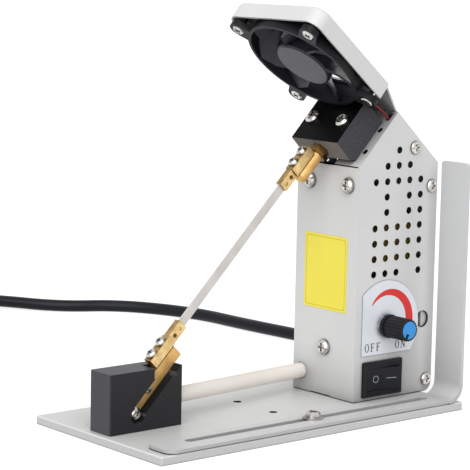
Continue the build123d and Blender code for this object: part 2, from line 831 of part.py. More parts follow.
def upper_block():
    thick = upper_block_thickness
    cut = upper_block_chamfer
    first = upper_block_start
    last = first + upper_block_length
    points = [(first + cut, 0), (last, 0), (last, thick)]
    points += [(first + thick * lean_in, thick), (first + cut * lean_in, cut)]
    half = upper_block_width / 2
    body = prism(roof_side, points, -half, half)
    body -= bar(rod_point(face_s - 9), rod_point(face_s + rod_in_block + 0.5), rod_diameter + 2 * press_gap)
    body -= drum(roof_up, sleeve_from_eave, 0, -1, sleeve_in_block, sleeve_diameter + 2 * press_gap)
    for y in (-upper_block_screw_y, upper_block_screw_y):
        body -= drum(roof_up, first + upper_block_screw, y, -1, thick + 1, shank + screw_gap)
    return body


def upper_block_screws():
    at = upper_block_start + upper_block_screw
    seat = upper_block_thickness
    apart = upper_block_screw_y
    return group([screw(roof_up, at, y, seat, seat + 6) for y in (-apart, apart)])


def upper_electrode():
    start = holder_end - rod_overlap
    rod = bar(rod_point(start), rod_point(face_s + rod_in_block), rod_diameter)
    end = rod.edges().filter_by(GeomType.CIRCLE).sort_by_distance(rod_point(start))[0]
    rod = chamfer(end, 1.2)
    rod -= block(blade_up, start - 2, holder_end + 0.4, -9, 9, -holder_below, 9)
    for at in (clamp_screw_1, clamp_screw_2):
        rod -= drum(blade_up, holder_start + at, 0, -holder_below - 5.1, 9, small_shank + 2 * press_gap)
    return rod


def rod_nut():
    plane = Plane(origin=rod_point(face_s), x_dir=(0, 1, 0), z_dir=slope(blade_angle))
    nut = hexagon(plane, 0, 0, -rod_nut_height, 0, rod_nut_flats)
    return nut - drum(plane, 0, 0, -9, 9, rod_diameter + 2 * press_gap)


def upper_lead():
    return drum(roof_up, sleeve_from_eave, 0, -sleeve_inside, sleeve_in_block, sleeve_diameter)


# Fan on its tray
fan_low = -fan_depth
ring_radius = fan_size / 2 - 0.2
bore_radius = ring_radius - fan_ring_wall
ear_spots = [(a * fan_hole_pitch / 2, b * fan_hole_pitch / 2) for a in (-1, 1) for b in (-1, 1)]
hub_low = fan_low + hub_recess
hub_top = -motor_plate - 0.8


def fan_frame():
    frame = drum(tray_up, 0, 0, fan_low, 0, 2 * ring_radius)
    for a, b in ear_spots:
        for low in (fan_low, -ear_height):
            frame += drum(tray_up, a, b, low, low + ear_height, 2 * ear_radius)
            reach = math.hypot(a, b)
            web = block(Plane.XY, bore_radius, reach, -ear_radius, ear_radius, low, low + ear_height)
            frame += tray_up * Rot(0, 0, math.degrees(math.atan2(b, a))) * web
    frame -= drum(tray_up, 0, 0, fan_low - 1, 1, 2 * bore_radius)
    for turn in (0, 90, 180, 270):
        strut = block(Plane.XY, 10, bore_radius + 0.8, -strut_width / 2, strut_width / 2, -motor_plate, 0)
        frame += tray_up * Rot(0, 0, turn + 20) * strut
    frame += drum(tray_up, 0, 0, -motor_plate, 0, fan_hub)
    tube = fan_shaft + 2 * run_gap + 2 * bearing_wall
    frame += drum(tray_up, 0, 0, hub_low + hub_wall + 0.5, -motor_plate, tube)
    frame -= drum(tray_up, 0, 0, hub_low, -0.8, fan_shaft + 2 * run_gap)
    for a, b in ear_spots:
        frame -= drum(tray_up, a, b, fan_low - 1, 1, small_shank + screw_gap)
        frame -= drum(tray_up, a, b, fan_low - 1, fan_low + ear_recess, pan_head + 2 * screw_gap)
    return frame


def vane(turn):
    # One curved, twisted blade through three stations from hub to tip.
    middle = (hub_low + hub_top) / 2
    tip = bore_radius - blade_tip_gap
    root = fan_hub / 2 - 0.9
    stations = ((root, 0.0, 46.0, 10.2), ((root + tip) / 2, 9.0, 36.0, 12.4), (tip, 22.0, 28.0, 14.2))
    sections = []
    for radius, sweep_on, pitch, chord in stations:
        angle = math.radians(turn + sweep_on)
        out = (math.cos(angle), math.sin(angle), 0)
        spot = (radius * out[0], radius * out[1], middle)
        place = Plane(origin=spot, x_dir=(-out[1], out[0], 0), z_dir=out)
        sections.append(place * Rot(0, 0, pitch) * Rectangle(chord, vane_thickness))
    return loft(sections, ruled=True)


def fan_rotor():
    rotor = Pos(0, 0, hub_low) * Cylinder(fan_hub / 2, hub_top - hub_low, align=STAND)
    rotor = chamfer(rotor.faces().sort_by(Axis.Z)[0].edges(), 0.9)
    for i in range(fan_blades):
        rotor += vane(vane_turn + 360 * i / fan_blades)
    limit = Pos(0, 0, hub_low) * Cylinder(bore_radius - blade_tip_gap, hub_top - hub_low, align=STAND)
    rotor = rotor & limit
    rotor -= drum(Plane.XY, 0, 0, hub_low + hub_wall, 1, fan_hub - 2 * hub_wall)
    rotor += drum(Plane.XY, 0, 0, hub_low + hub_wall / 2, -1.0, fan_shaft)
    return tray_up * rotor


def fan_stator():
    low = hub_low + hub_wall + 0.8
    tube = fan_shaft + 2 * run_gap + 2 * bearing_wall
    ring = drum(tray_up, 0, 0, low, -motor_plate, fan_hub - 2 * hub_wall - 2 * stator_gap)
    for turn in (0, 45, 90, 135):
        gap = block(Plane.XY, -fan_hub, fan_hub, -0.7, 0.7, low - 1, low + 3.2)
        ring -= tray_up * Rot(0, 0, turn) * gap
    return ring - drum(tray_up, 0, 0, fan_low, 1, tube + 2 * press_gap)


def fan_screws():
    below = Plane(origin=tray_mid, x_dir=slope(-fan_tilt), z_dir=slope(270 - fan_tilt))
    seat = fan_depth - ear_recess
    length = seat + tray_sheet - 0.1
    tall = pan_head_height
    return group([screw(below, a, b, seat, length, pan_head, tall, small_shank) for a, b in ear_spots])


tray_half = fan_size / 2 + fan_side_gap / 2 + tray_sheet


def tray_pan(inset, low, high, end):
    half = tray_half - inset
    corner = tray_corner - inset
    pan = block(Plane.XY, -half, end, -half, half, low, high)
    upright = pan.edges().filter_by(Axis.Z).sort_by(Axis.X)[:2]
    pan = fillet(upright, corner)
    return pan


def fan_tray():
    pan = tray_pan(0, -tray_wall, tray_sheet, tray_side_end)
    rim = pan.faces().sort_by(Axis.Z)[-1].edges()
    pan = fillet([edge for edge in rim if edge.center().X < tray_side_end - 0.1], tray_bend)
    pan -= tray_pan(tray_sheet, -tray_wall - 1, 0, tray_side_end + 1)
    pan -= Cylinder(tray_opening / 2, 9)
    tray = tray_up * pan
    start = tray_up.from_local_coords(Vector(tray_side_end - 6, 0, 0))
    lap = ridge + along(-rear_angle, tongue_lap)
    path = [(start.X, start.Z), (tongue_bend.X, tongue_bend.Z), (lap.X, lap.Z)]
    profile = path + list(reversed(beside(path, tray_sheet)))
    tongue = slab(profile, work_y - tray_half, work_y + tray_half)
    wide = tongue_half_start
    slim = tongue_half_end
    knee = tongue_bend_at + tongue_rise
    last = knee + tongue_lap + 5
    outline = [(tray_side_end - 9, -wide), (tray_side_end, -wide), (knee, -slim), (last, -slim)]
    outline += [(last, slim), (knee, slim), (tray_side_end, wide), (tray_side_end - 9, wide)]
    tongue = tongue & prism(tray_up, outline, -40, 40)
    tray += tongue - drum(tray_up, 0, 0, -20, 20, tray_opening)
    for a, b in ear_spots:
        tray -= drum(tray_up, a, b, -4, 4, small_shank + 2 * press_gap)
    for y in (-11, 11):
        tray -= drum(rear_up, tongue_lap * 0.5, y, -4, 4, shank + screw_gap)
    return tray


def tray_screws():
    return group([screw(rear_up, tongue_lap * 0.5, y, tray_sheet, 7) for y in (-11, 11)])


def fan_lead(shift):
    turn = -20 + 3.6 * shift
    edge = tray_up.from_local_coords(heading(turn) * ring_radius + Vector(0, 0, -6))
    clear = tray_up.from_local_coords(heading(turn) * (ring_radius + 6) + Vector(0, 0, -6))
    over = roof_up.from_local_coords(Vector(fan_lead_u + shift, fan_lead_y, 5.5))
    inside = roof_up.from_local_coords(Vector(fan_lead_u + shift, fan_lead_y, -2.5))
    path = FilletPolyline(edge, clear, over, inside, radius=2.4)
    section = Plane(origin=path @ 0, z_dir=path % 0) * Circle(fan_lead_diameter / 2)
    return sweep(section, path=path)


# Stop bracket on the base plate
bracket_left = x_left + bracket_inset
bracket_out = x_plate - 0.3


def stop_bracket():
    low = z_top
    top = z_top + bracket_leg + bracket_sheet
    bend = bracket_bend
    inner = bend - bracket_sheet
    lines = Line((bracket_left, low), (bracket_out - bend, low))
    lines += RadiusArc((bracket_out - bend, low), (bracket_out, low + bend), -bend)
    lines += Line((bracket_out, low + bend), (bracket_out, top))
    lines += Line((bracket_out, top), (bracket_out - bracket_sheet, top))
    lines += Line((bracket_out - bracket_sheet, top), (bracket_out - bracket_sheet, low + bend))
    inside = bracket_out - bracket_sheet
    lines += RadiusArc((inside, low + bend), (bracket_out - bend, low + bracket_sheet), inner)
    lines += Line((bracket_out - bend, low + bracket_sheet), (bracket_left, low + bracket_sheet))
    lines += Line((bracket_left, low + bracket_sheet), (bracket_left, low))
    body = extrude(make_face(lines), amount=bracket_width, dir=(0, 0, 1))
    near = -plate_width / 2
    far = near + bracket_width
    body = side * Pos(0, 0, -far) * body
    body = fillet(body.edges().filter_by(Axis.Z).sort_by(Axis.X)[:2], bracket_corner)
    body = fillet(body.edges().filter_by(Axis.X).sort_by(Axis.Z)[-2:], bracket_top_corner)
    cut = bracket_line_depth
    flat_end = bracket_out - bend
    sole = block(Plane.XY, bracket_left + cut, flat_end + 9, near + cut, far - cut, low - 2, low + 2)
    sole = fillet(sole.edges().filter_by(Axis.Z).sort_by(Axis.X)[:2], bracket_corner - cut)
    lift = block(Plane.XY, bracket_left - 1, flat_end, near - 1, far + 1, low - 1, low + bracket_line)
    body -= lift - sole
    first = bracket_left + slot_left + slot_width / 2
    last = bracket_out - slot_right - slot_width / 2
    half = slot_width / 2
    over = z_top + bracket_sheet + 1
    body -= block(Plane.XY, first, last, bracket_y - half, bracket_y + half, z_top - 1, over)
    for x in (first, last):
        body -= drum(Plane.XY, x, bracket_y, z_top - 1, over, slot_width)
    return body


def stop_screw():
    seat = z_top + bracket_sheet + washer_thickness
    return screw(Plane.XY, stop_screw_x, bracket_y, seat, seat - 0.4)


def stop_washer():
    seat = z_top + bracket_sheet
    ring = drum(Plane.XY, stop_screw_x, bracket_y, seat, seat + washer_thickness, head + 1.8)
    return ring - drum(Plane.XY, stop_screw_x, bracket_y, 0, 20, shank + screw_gap)


# Transformer and control board inside the housing
core_x = x_front + sheet + mount_sheet + core_stand


def core_box(x0, x1, half_y, z0, z1):
    return block(Plane.XY, core_x + x0, core_x + x1, work_y - half_y, work_y + half_y, z0, z1)


def transformer_core():
    z0 = z_top + core_bottom
    middle = z0 + core_height / 2
    core = core_box(0, core_depth, core_stack / 2, z0, z0 + core_height)
    gap = (core_depth - core_window_length) / 2
    for low in (middle - core_leg / 2 - core_window, middle + core_leg / 2):
        core -= core_box(gap, gap + core_window_length, core_stack, low, low + core_window)
    return core


def transformer_coil():
    middle = z_top + core_bottom + core_height / 2
    gap = (core_depth - core_window_length) / 2 + coil_gap
    far = gap + core_window_length - 2 * coil_gap
    high = core_leg / 2 + coil_build
    coil = core_box(gap, far, core_stack / 2 + coil_build + 1, middle - high, middle + high)
    coil = chamfer(coil.edges().filter_by(Axis.X), 1.5)
    inner = core_leg / 2 + coil_gap
    return coil - core_box(gap - 1, far + 1, core_stack / 2 + coil_gap, middle - inner, middle + inner)


def transformer_mount():
    low = z_top + core_bottom - 4
    high = z_eave - front_screw_drop + 3.2
    back = x_front + sheet + mount_sheet
    plate = block(Plane.XY, x_front + sheet, back, work_y - mount_near, work_y + mount_far, low, high)
    for y, z in front_points[:2]:
        plate -= drum(front_wall, -y, z, -9, 1, shank + 2 * press_gap)
    under = z_top + core_bottom
    over = under + core_height
    strap = core_box(-core_stand, core_depth + 1.5, 6.5, under - 1.5, over + 1.5)
    strap -= core_box(-core_stand - 1, core_depth, 20, under, over)
    return plate + strap


def board_y():
    return work_y - 4.0


def control_board():
    low = z_top + 17
    plate = block(Plane.XY, board_x, board_x + board_thickness, board_y(), board_y() + 22, low, low + 36)
    y, z = front_points[2]
    return plate - drum(front_wall, -y, z, -board_standoff - 9, 9, small_shank + screw_gap)


def board_pillar():
    y, z = front_points[2]
    post = hexagon(front_wall, -y, z, -sheet - board_standoff, -sheet, nut_flats)
    return post - drum(front_wall, -y, z, -board_standoff - 9, 1, shank + 2 * press_gap)


def board_parts():
    face = board_x + board_thickness
    low = z_top + 17
    y = board_y()
    pieces = [block(Plane.XY, face, face + 12, y + 10, y + 20, low + 3, low + 11)]
    stand = Plane(origin=(face, 0, 0), x_dir=(0, 1, 0), z_dir=(1, 0, 0))
    pieces.append(drum(stand, y + 15, low + 18, 0, 13, 9))
    pieces.append(block(Plane.XY, face, face + 5, y + 2, y + 12, low + 27, low + 34))
    pieces.append(block(Plane.XY, face, face + 9, y + 14, y + 20, low + 25, low + 34))
    return group(pieces)


# Mains lead: strain relief, lead on the floor, coil, tie and plug
exit_y = work_y + relief_y
exit_z = z_top + relief_height
relief_tip = x_rear + relief_length
floor_z = cord / 2
cord_area = math.pi * cord**2 / 4
coil_z = cord / 2 + coil_lift
lead_steps = [
    (0.0, 0.0, exit_z),
    (8.9, 0.0, exit_z),
    (24.4, 8.9, 13.5),
    (33.3, 24.4, 9.0),
    (33.3, 69.5, floor_z),
    (29.0, 115.0, floor_z),
    (25.0, 154.5, floor_z),
    (23.5, 198.5, floor_z),
    (1.4, 244.0, floor_z),
    (-31.9, 260.0, floor_z),
    (-54.0, 292.2, coil_z),
]
route = [(relief_tip + x, exit_y + y, z) for x, y, z in lead_steps]
coil_heading = 128.0
coil_lead_in = 46.0


route_end = Vector(*route[-1]) + heading(coil_heading) * coil_lead_in
coil_start = route_end + heading(coil_heading) * cord
coil_middle = coil_start + heading(coil_heading + 90) * coil_radius


def strain_relief():
    piece = drum(rear_wall, exit_y, exit_z, 0, 2.5, 15.0)
    taper = Cone(relief_wide / 2, relief_narrow / 2, relief_length - 2.5, align=STAND)
    piece += rear_wall * Pos(exit_y, exit_z, 2.5) * taper
    for at in (4.4, 6.8, 9.2):
        ring = drum(rear_wall, exit_y, exit_z, at, at + 1.3, 20)
        piece -= ring - drum(rear_wall, exit_y, exit_z, at, at + 1.3, relief_narrow - 0.6)
    piece += drum(rear_wall, exit_y, exit_z, -sheet, 0, relief_narrow)
    return piece + drum(rear_wall, exit_y, exit_z, -sheet - 2.0, -sheet, 11.6)


def power_cord():
    points = [Vector(*point) for point in route] + [route_end]
    radii = []
    for a, b, c in zip(points, points[1:], points[2:]):
        turn = math.radians((b - a).get_angle(c - b))
        before = (b - a).length * (0.9 if a == points[0] else 0.45)
        radii.append(min(before, 0.45 * (c - b).length) / math.tan(turn / 2))
    path = FilletPolyline(*points, radius=radii)
    section = Plane(origin=path @ 0, z_dir=path % 0) * Circle(cord / 2)
    tube = sweep(section, path=path)
    print("lead radii", [round(r, 1) for r in radii])
    print("lead length", round(path.length, 1), "volume", round(tube.volume), round(cord_area * path.length))
    return tube


def coil_point(turn):
    half = 0.5
    inner = coil_radius - coil_pitch * coil_turns_in
    if turn <= coil_turns_in:
        radius = coil_radius - coil_pitch * turn
        height = coil_z
    elif turn <= coil_turns_in + half:
        part = (turn - coil_turns_in) / half
        radius = inner - coil_pitch * half / math.pi * math.sin(math.pi * part)
        height = coil_z + coil_pitch * part * part * (3 - 2 * part)
    else:
        radius = inner + coil_pitch * (turn - coil_turns_in - half)
        height = coil_z + coil_pitch
    spot = coil_middle + heading(coil_heading - 90 + 360 * turn) * radius
    return Vector(spot.X, spot.Y, height)


def coil_tangent(turn):
    step = 0.0005
    return (coil_point(turn + step) - coil_point(turn - step)).normalized()


def two_arcs(p0, t0, p1, t1):
    v = p1 - p0
    t = t0 + t1
    bend = 2 * (1 - t0.dot(t1))
    d = (-v.dot(t) + math.sqrt(v.dot(t) ** 2 + bend * v.dot(v))) / bend
    middle = (p0 + p1 + (t0 - t1) * d) * 0.5
    first = TangentArc(p0, middle, tangent=t0)
    return [first, TangentArc(middle, p1, tangent=first % 1)]


coil_turns = coil_turns_in + 0.5 + coil_turns_out
coil_end = coil_point(coil_turns)
coil_way = heading(coil_heading + 360 * coil_turns)
plug_start = coil_end + coil_way * coil_tail


def cord_coil():
    stops = [i / 4 for i in range(int(round(coil_turns * 4)) + 1)]
    edges = [Line(route_end, coil_start)]
    tangent = heading(coil_heading)
    for a, b in zip(stops, stops[1:]):
        after = coil_way if b == stops[-1] else coil_tangent(b)
        edges += two_arcs(coil_point(a), tangent, coil_point(b), after)
        tangent = after
    edges.append(Line(coil_end, plug_start))
    path = Wire([piece.edge() for piece in edges])
    section = Plane(origin=route_end, z_dir=heading(coil_heading)) * Circle(cord / 2)
    coil = sweep(section, path=path)
    spots = [path @ (i / 900) for i in range(901)]
    apart = path.length / 900
    skip = int(3 * cord / apart)
    least = min((spots[i] - spots[j]).length for i in range(901) for j in range(i + skip, 901))
    print("coil length", round(path.length, 1), "volume", round(coil.volume), round(cord_area * path.length))
    print("coil least gap", round(least - cord, 2), "mid-turn", 2 * coil_radius - coil_pitch * coil_turns_in)
    return coil


def cord_tie():
    spot = Plane(origin=(coil_middle.X, coil_middle.Y, 0), x_dir=heading(coil_heading + 160))
    inner = coil_radius - coil_pitch * coil_turns_in - cord / 2 - tie_gap
    outer = coil_radius + cord / 2 + tie_gap
    low = coil_lift - 0.1
    high = coil_z + coil_pitch + cord / 2 + tie_gap
    half = tie_width / 2
    t = tie_thickness
    ring = block(spot, inner - t, outer + t, -half, half, low - t, high + t)
    return ring - block(spot, inner, outer, -half - 1, half + 1, low, high)


plug_plane = Plane(origin=plug_start, x_dir=heading(coil_heading + 360 * coil_turns - 90), z_dir=coil_way)
plug_height = 2 * (coil_z + coil_pitch)


def plug_body():
    neck = Circle(plug_neck / 2)
    wide = RectangleRounded(plug_width, plug_height, 7)
    shoulder = 0.45 * plug_length
    body = loft([neck, Pos(0, 0, shoulder) * wide])
    body += Pos(0, 0, shoulder) * extrude(wide, amount=plug_length - shoulder, dir=(0, 0, 1))
    for at in (0.58, 0.68, 0.78):
        grip = Pos(0, 0, at * plug_length) * Box(2 * plug_width, 0.45 * plug_height, 1.5)
        body -= grip - Pos(0, 0, at * plug_length) * Box(plug_width - 1.4, plug_height, 3)
    return plug_plane * body


def plug_pins():
    pins = []
    for x in (-6.35, 6.35):
        pins.append(block(plug_plane, x - 0.75, x + 0.75, 0, 6.3, plug_length, plug_length + pin_length))
    pins.append(drum(plug_plane, 0, -7.5, plug_length, plug_length + pin_length + 2, 4.8))
    return group(pins)


parts = {
    "base_plate": base_plate,
    "base_screws": base_screws,
    "flange_nuts": flange_nuts,
    "housing_shell": housing_shell,
    "rear_cover": rear_cover,
    "side_screws": side_screws,
    "front_screws": front_screws,
    "dial_plate": dial_plate,
    "potentiometer": potentiometer,
    "control_nut": control_nut,
    "control_shaft": control_shaft,
    "knob": knob,
    "knob_cap": knob_cap,
    "switch_frame": switch_frame,
    "rocker": rocker,
    "switch_terminals": switch_terminals,
    "blade": blade,
    "blade_set_screws": set_screws,
    "upper_holder": lambda: holder(1),
    "upper_clamp_screws": lambda: clamp_screws(1, 9.5),
    "lower_holder": lambda: holder(-1),
    "lower_clamp_screws": lambda: clamp_screws(-1, 9.5),
    "lower_electrode": lower_electrode,
    "terminal_screw": terminal_screw,
    "terminal_washer": terminal_washer,
    "electrode_grub": electrode_grub,
    "lower_block": lower_block,
    "lead_conduit": lead_conduit,
    "lead_conductor": lead_conductor,
    "upper_block": upper_block,
    "upper_block_screws": upper_block_screws,
    "upper_electrode": upper_electrode,
    "rod_nut": rod_nut,
    "upper_lead": upper_lead,
    "fan_frame": fan_frame,
    "fan_rotor": fan_rotor,
    "fan_stator": fan_stator,
    "fan_screws": fan_screws,
    "fan_tray": fan_tray,
    "tray_screws": tray_screws,
    "fan_lead_red": lambda: fan_lead(-2.4),
    "fan_lead_black": lambda: fan_lead(0.0),
    "stop_bracket": stop_bracket,
    "stop_screw": stop_screw,
    "stop_washer": stop_washer,
    "transformer_core": transformer_core,
    "transformer_coil": transformer_coil,
    "transformer_mount": transformer_mount,
    "control_board": control_board,
    "board_pillar": board_pillar,
    "board_parts": board_parts,
    "strain_relief": strain_relief,
    "power_cord": power_cord,
    "cord_coil": cord_coil,
    "cord_tie": cord_tie,
    "plug_body": plug_body,
    "plug_pins": plug_pins,
}

os.makedirs("parts", exist_ok=True)
for name, make in parts.items():
    shape = make()
    export_step(shape, "parts/" + name + ".step")
    print(name, len(shape.solids()), round(shape.volume, 1))
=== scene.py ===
# %% [markdown]
# # A bench-top hot knife
# A thin strip of resistance metal is stretched on a slant between two brass clamps. Switched on, it
# gets hot enough to cut ribbon, webbing and rope and to melt their ends shut. The clamps stand on
# black insulating blocks, one on a painted base plate and one on the roof of a folded sheet housing.
# The solids come from CAD with every screw in place. This lesson gives them their finishes, lays
# the mains lead, adds the printed marks, and sets up a white studio.

import math

import bmesh
import bpy
from mathutils import Matrix, Vector
from mathutils.bvhtree import BVHTree


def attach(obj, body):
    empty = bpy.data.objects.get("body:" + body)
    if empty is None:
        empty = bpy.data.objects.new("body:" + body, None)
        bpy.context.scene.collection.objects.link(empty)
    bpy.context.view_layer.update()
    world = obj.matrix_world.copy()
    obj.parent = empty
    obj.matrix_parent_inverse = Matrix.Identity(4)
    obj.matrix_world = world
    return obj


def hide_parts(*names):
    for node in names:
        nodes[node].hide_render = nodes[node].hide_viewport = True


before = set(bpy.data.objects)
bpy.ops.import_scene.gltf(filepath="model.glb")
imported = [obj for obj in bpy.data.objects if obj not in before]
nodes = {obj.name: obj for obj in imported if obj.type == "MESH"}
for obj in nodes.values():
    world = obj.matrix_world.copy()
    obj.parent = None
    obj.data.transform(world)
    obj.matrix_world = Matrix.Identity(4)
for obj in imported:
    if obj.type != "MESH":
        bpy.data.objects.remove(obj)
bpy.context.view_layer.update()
MM = 0.001
scene = bpy.context.scene

# %% [markdown]
# ## Camera
# A product photographer stands well back with a long lens, so that upright edges stay almost
# parallel. A camera can be aimed by tracking a target object, but then a small roll is awkward to
# add. Here the place, the heading and the roll are set directly. They were worked out from the
# edges of the plate, the housing and the rows of vent holes.

# %% Place the camera
LENS_MM = 154.777
SENSOR_MM = 36.0
FAR_CLIP = 20.0
CAMERA_AT = Vector((-0.616637, -0.71666, 0.22456))
CAMERA_AZIMUTH = math.radians(-39.909)
CAMERA_ELEVATION = math.radians(8.267)
CAMERA_ROLL = math.radians(1.143)


def seen_from(azimuth, elevation):
    level = math.cos(elevation)
    return Vector((math.sin(azimuth) * level, -math.cos(azimuth) * level, math.sin(elevation)))


camera_data = bpy.data.cameras.new("product_camera")
camera_data.lens = LENS_MM
camera_data.sensor_width = SENSOR_MM
camera_data.clip_end = FAR_CLIP
camera = bpy.data.objects.new("product_camera", camera_data)
scene.collection.objects.link(camera)
forward = -seen_from(CAMERA_AZIMUTH, CAMERA_ELEVATION)
turned = forward.to_track_quat("-Z", "Y").to_matrix().to_4x4()
camera.matrix_world = Matrix.Translation(CAMERA_AT) @ turned @ Matrix.Rotation(CAMERA_ROLL, 4, "Z")
scene.camera = camera
print("camera at", [round(value, 3) for value in CAMERA_AT], "lens", LENS_MM)

# %% [markdown]
# ## Mains lead
# A round PVC lead is stiff enough to leave the housing straight, and heavy enough to lie flat on the
# bench soon after. It could be a mesh swept along a path, but a NURBS curve suits it better: the
# control points pull the line without kinking it, and each can still be moved by hand. The first
# points are steps from the tip of the strain relief, with their height over the bench, in millimetres.

# %% Points from the strain relief to the coil
LEAD = 7.0 * MM
RELIEF_TIP = Vector((108.0, 15.5, 16.0)) * MM
FLOOR = 3.5
ON_COIL = 4.5
LEAD_STEPS = [
    (0.0, 0.0, 16.0),
    (8.9, 0.0, 16.0),
    (24.4, 8.9, 13.5),
    (33.3, 24.4, 9.0),
    (33.3, 69.5, FLOOR),
    (29.0, 115.0, FLOOR),
    (25.0, 154.5, FLOOR),
    (23.5, 198.5, FLOOR),
    (1.4, 244.0, FLOOR),
    (-31.9, 260.0, FLOOR),
    (-54.0, 292.2, ON_COIL),
]
lead_line = [Vector((RELIEF_TIP.x / MM + x, RELIEF_TIP.y / MM + y, z)) for x, y, z in LEAD_STEPS]
print("points before the coil:", len(lead_line))

# %% [markdown]
# The length that isn't needed is wound into a flat coil, two turns in and nearly two out again on
# top. Its points follow a formula, because each turn is the same rule with a new angle. In the half
# turn between, the line swings a little further in and climbs to the second layer.

# %% Wind the coil
COIL_HEADING = 128.0
COIL_LEAD_IN = 46.0
COIL_RADIUS = 45.0
COIL_PITCH = 7.6
TURNS_IN = 2.0
TURN_BACK = 0.5
TURNS_OUT = 1.75
COIL_TAIL = 26.0
POINTS_PER_TURN = 24


def heading(degrees):
    return Vector((math.cos(math.radians(degrees)), math.sin(math.radians(degrees)), 0.0))


def coil_point(middle, turn):
    inner = COIL_RADIUS - COIL_PITCH * TURNS_IN
    height = ON_COIL
    if turn <= TURNS_IN:
        radius = COIL_RADIUS - COIL_PITCH * turn
    elif turn <= TURNS_IN + TURN_BACK:
        part = (turn - TURNS_IN) / TURN_BACK
        radius = inner - COIL_PITCH * TURN_BACK / math.pi * math.sin(math.pi * part)
        height += COIL_PITCH * part * part * (3 - 2 * part)
    else:
        radius = inner + COIL_PITCH * (turn - TURNS_IN - TURN_BACK)
        height += COIL_PITCH
    spot = middle + heading(COIL_HEADING - 90 + 360 * turn) * radius
    return Vector((spot.x, spot.y, height))


route_end = lead_line[-1] + heading(COIL_HEADING) * COIL_LEAD_IN
coil_start = route_end + heading(COIL_HEADING) * LEAD / MM
coil_middle = coil_start + heading(COIL_HEADING + 90) * COIL_RADIUS
coil_turns = TURNS_IN + TURN_BACK + TURNS_OUT
steps = round(coil_turns * POINTS_PER_TURN)
lead_line.append(route_end)
lead_line += [coil_point(coil_middle, coil_turns * i / steps) for i in range(steps + 1)]
lead_line.append(lead_line[-1] + heading(COIL_HEADING + 360 * coil_turns) * COIL_TAIL)
print("lead points:", len(lead_line))

# %% [markdown]
# A curve's bevel gives it a round section. The thickness is set as each point's radius, with a bevel
# depth of one, because the evaluated curve's box adds the points' radii whatever the bevel is. The
# order is set after the points are there: a new spline has one point and would cut the order down.

# %% Make one smooth curve of the points
UNIT_BEVEL = 1.0
ROUNDNESS = 6
CURVE_ORDER = 3
STEPS_PER_POINT = 8

lead_curve = bpy.data.curves.new("mains_lead", "CURVE")
lead_curve.dimensions = "3D"
lead_curve.bevel_depth = UNIT_BEVEL
lead_curve.bevel_resolution = ROUNDNESS
lead_curve.use_fill_caps = True
spline = lead_curve.splines.new("NURBS")
spline.points.add(len(lead_line) - 1)
for point, place in zip(spline.points, lead_line):
    point.co = (*(place * MM), 1.0)
    point.radius = LEAD / 2
spline.order_u = CURVE_ORDER
spline.use_endpoint_u = True
spline.resolution_u = STEPS_PER_POINT
mains_lead = bpy.data.objects.new("mains_lead", lead_curve)
scene.collection.objects.link(mains_lead)
print("lead thickness:", LEAD)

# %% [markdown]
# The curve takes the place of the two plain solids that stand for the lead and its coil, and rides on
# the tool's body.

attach(mains_lead, "tool")
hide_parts("power_cord", "cord_coil")

# %% [markdown]
# ## Shared surface effects
# Real finishes differ in colour but share their small faults: sprayed paint has a fine pebble, machined
# metal has lines from the tool, and moulded plastic has a spark-eroded grain. Edges get a tone of their
# own, lighter on most finishes as wear together with a painted highlight, and darker on brass as a
# painted shadow line, and hollows get a painted shade. Each of these is one node group with named
# sockets, so that a material only says how much of it there is. A few helpers keep the building of node
# trees short.

# %% Helpers for node trees
def feed(tree, socket, value):
    if isinstance(value, bpy.types.NodeSocket):
        tree.links.new(value, socket)
    else:
        socket.default_value = value


def start_group(name, inputs, outputs):
    group = bpy.data.node_groups.new(name, "ShaderNodeTree")
    for label, default in inputs.items():
        socket = group.interface.new_socket(label, in_out="INPUT", socket_type="NodeSocketFloat")
        socket.default_value = default
    for label in outputs:
        group.interface.new_socket(label, in_out="OUTPUT", socket_type="NodeSocketFloat")
    entry = group.nodes.new("NodeGroupInput")
    leave = group.nodes.new("NodeGroupOutput")
    return group, entry, leave


def math_node(tree, operation, first, second=0.0, clamp=False):
    node = tree.nodes.new("ShaderNodeMath")
    node.operation = operation
    node.use_clamp = clamp
    feed(tree, node.inputs[0], first)
    feed(tree, node.inputs[1], second)
    return node.outputs[0]


def dot_node(tree, first, second):
    node = tree.nodes.new("ShaderNodeVectorMath")
    node.operation = "DOT_PRODUCT"
    feed(tree, node.inputs[0], first)
    feed(tree, node.inputs[1], second)
    return node.outputs["Value"]


print("node helpers ready")

# %% [markdown]
# Noise is the raw material of most effects. It reads object coordinates, which are metres in the
# tool's own frame, so no surface has to be unwrapped and a grain has the same size on every piece.
# Stretched along one axis, the same noise turns into lines.

# %% Noise in the tool's own frame
def object_place(tree):
    return tree.nodes.new("ShaderNodeTexCoord").outputs["Object"]


def object_noise(tree, scale, detail, stretch=None, turn=0.0):
    where = object_place(tree)
    if stretch:
        lay = tree.nodes.new("ShaderNodeMapping")
        lay.inputs["Rotation"].default_value = (0.0, turn, 0.0)
        lay.inputs["Scale"].default_value = stretch
        tree.links.new(where, lay.inputs["Vector"])
        where = lay.outputs["Vector"]
    noise = tree.nodes.new("ShaderNodeTexNoise")
    noise.inputs["Detail"].default_value = detail
    tree.links.new(where, noise.inputs["Vector"])
    feed(tree, noise.inputs["Scale"], scale)
    return noise.outputs["Fac"]


print("noise helper ready")

# %% [markdown]
# Sprayed paint and moulded plastic are never quite flat or even in tone. A picture of such a surface
# would have to be unwrapped, and shows its pixels close up. Two noises do it at any distance: a fine
# one for the bump, and a slow one for the cloud in the colour and the gloss.

# %% Fine grain and slow cloudiness, for paint and plastic
GRAIN_SOCKETS = {"Scale": 1200.0, "Cloud Scale": 22.0}
GRAIN_DETAIL = 2.0
CLOUD_DETAIL = 3.0

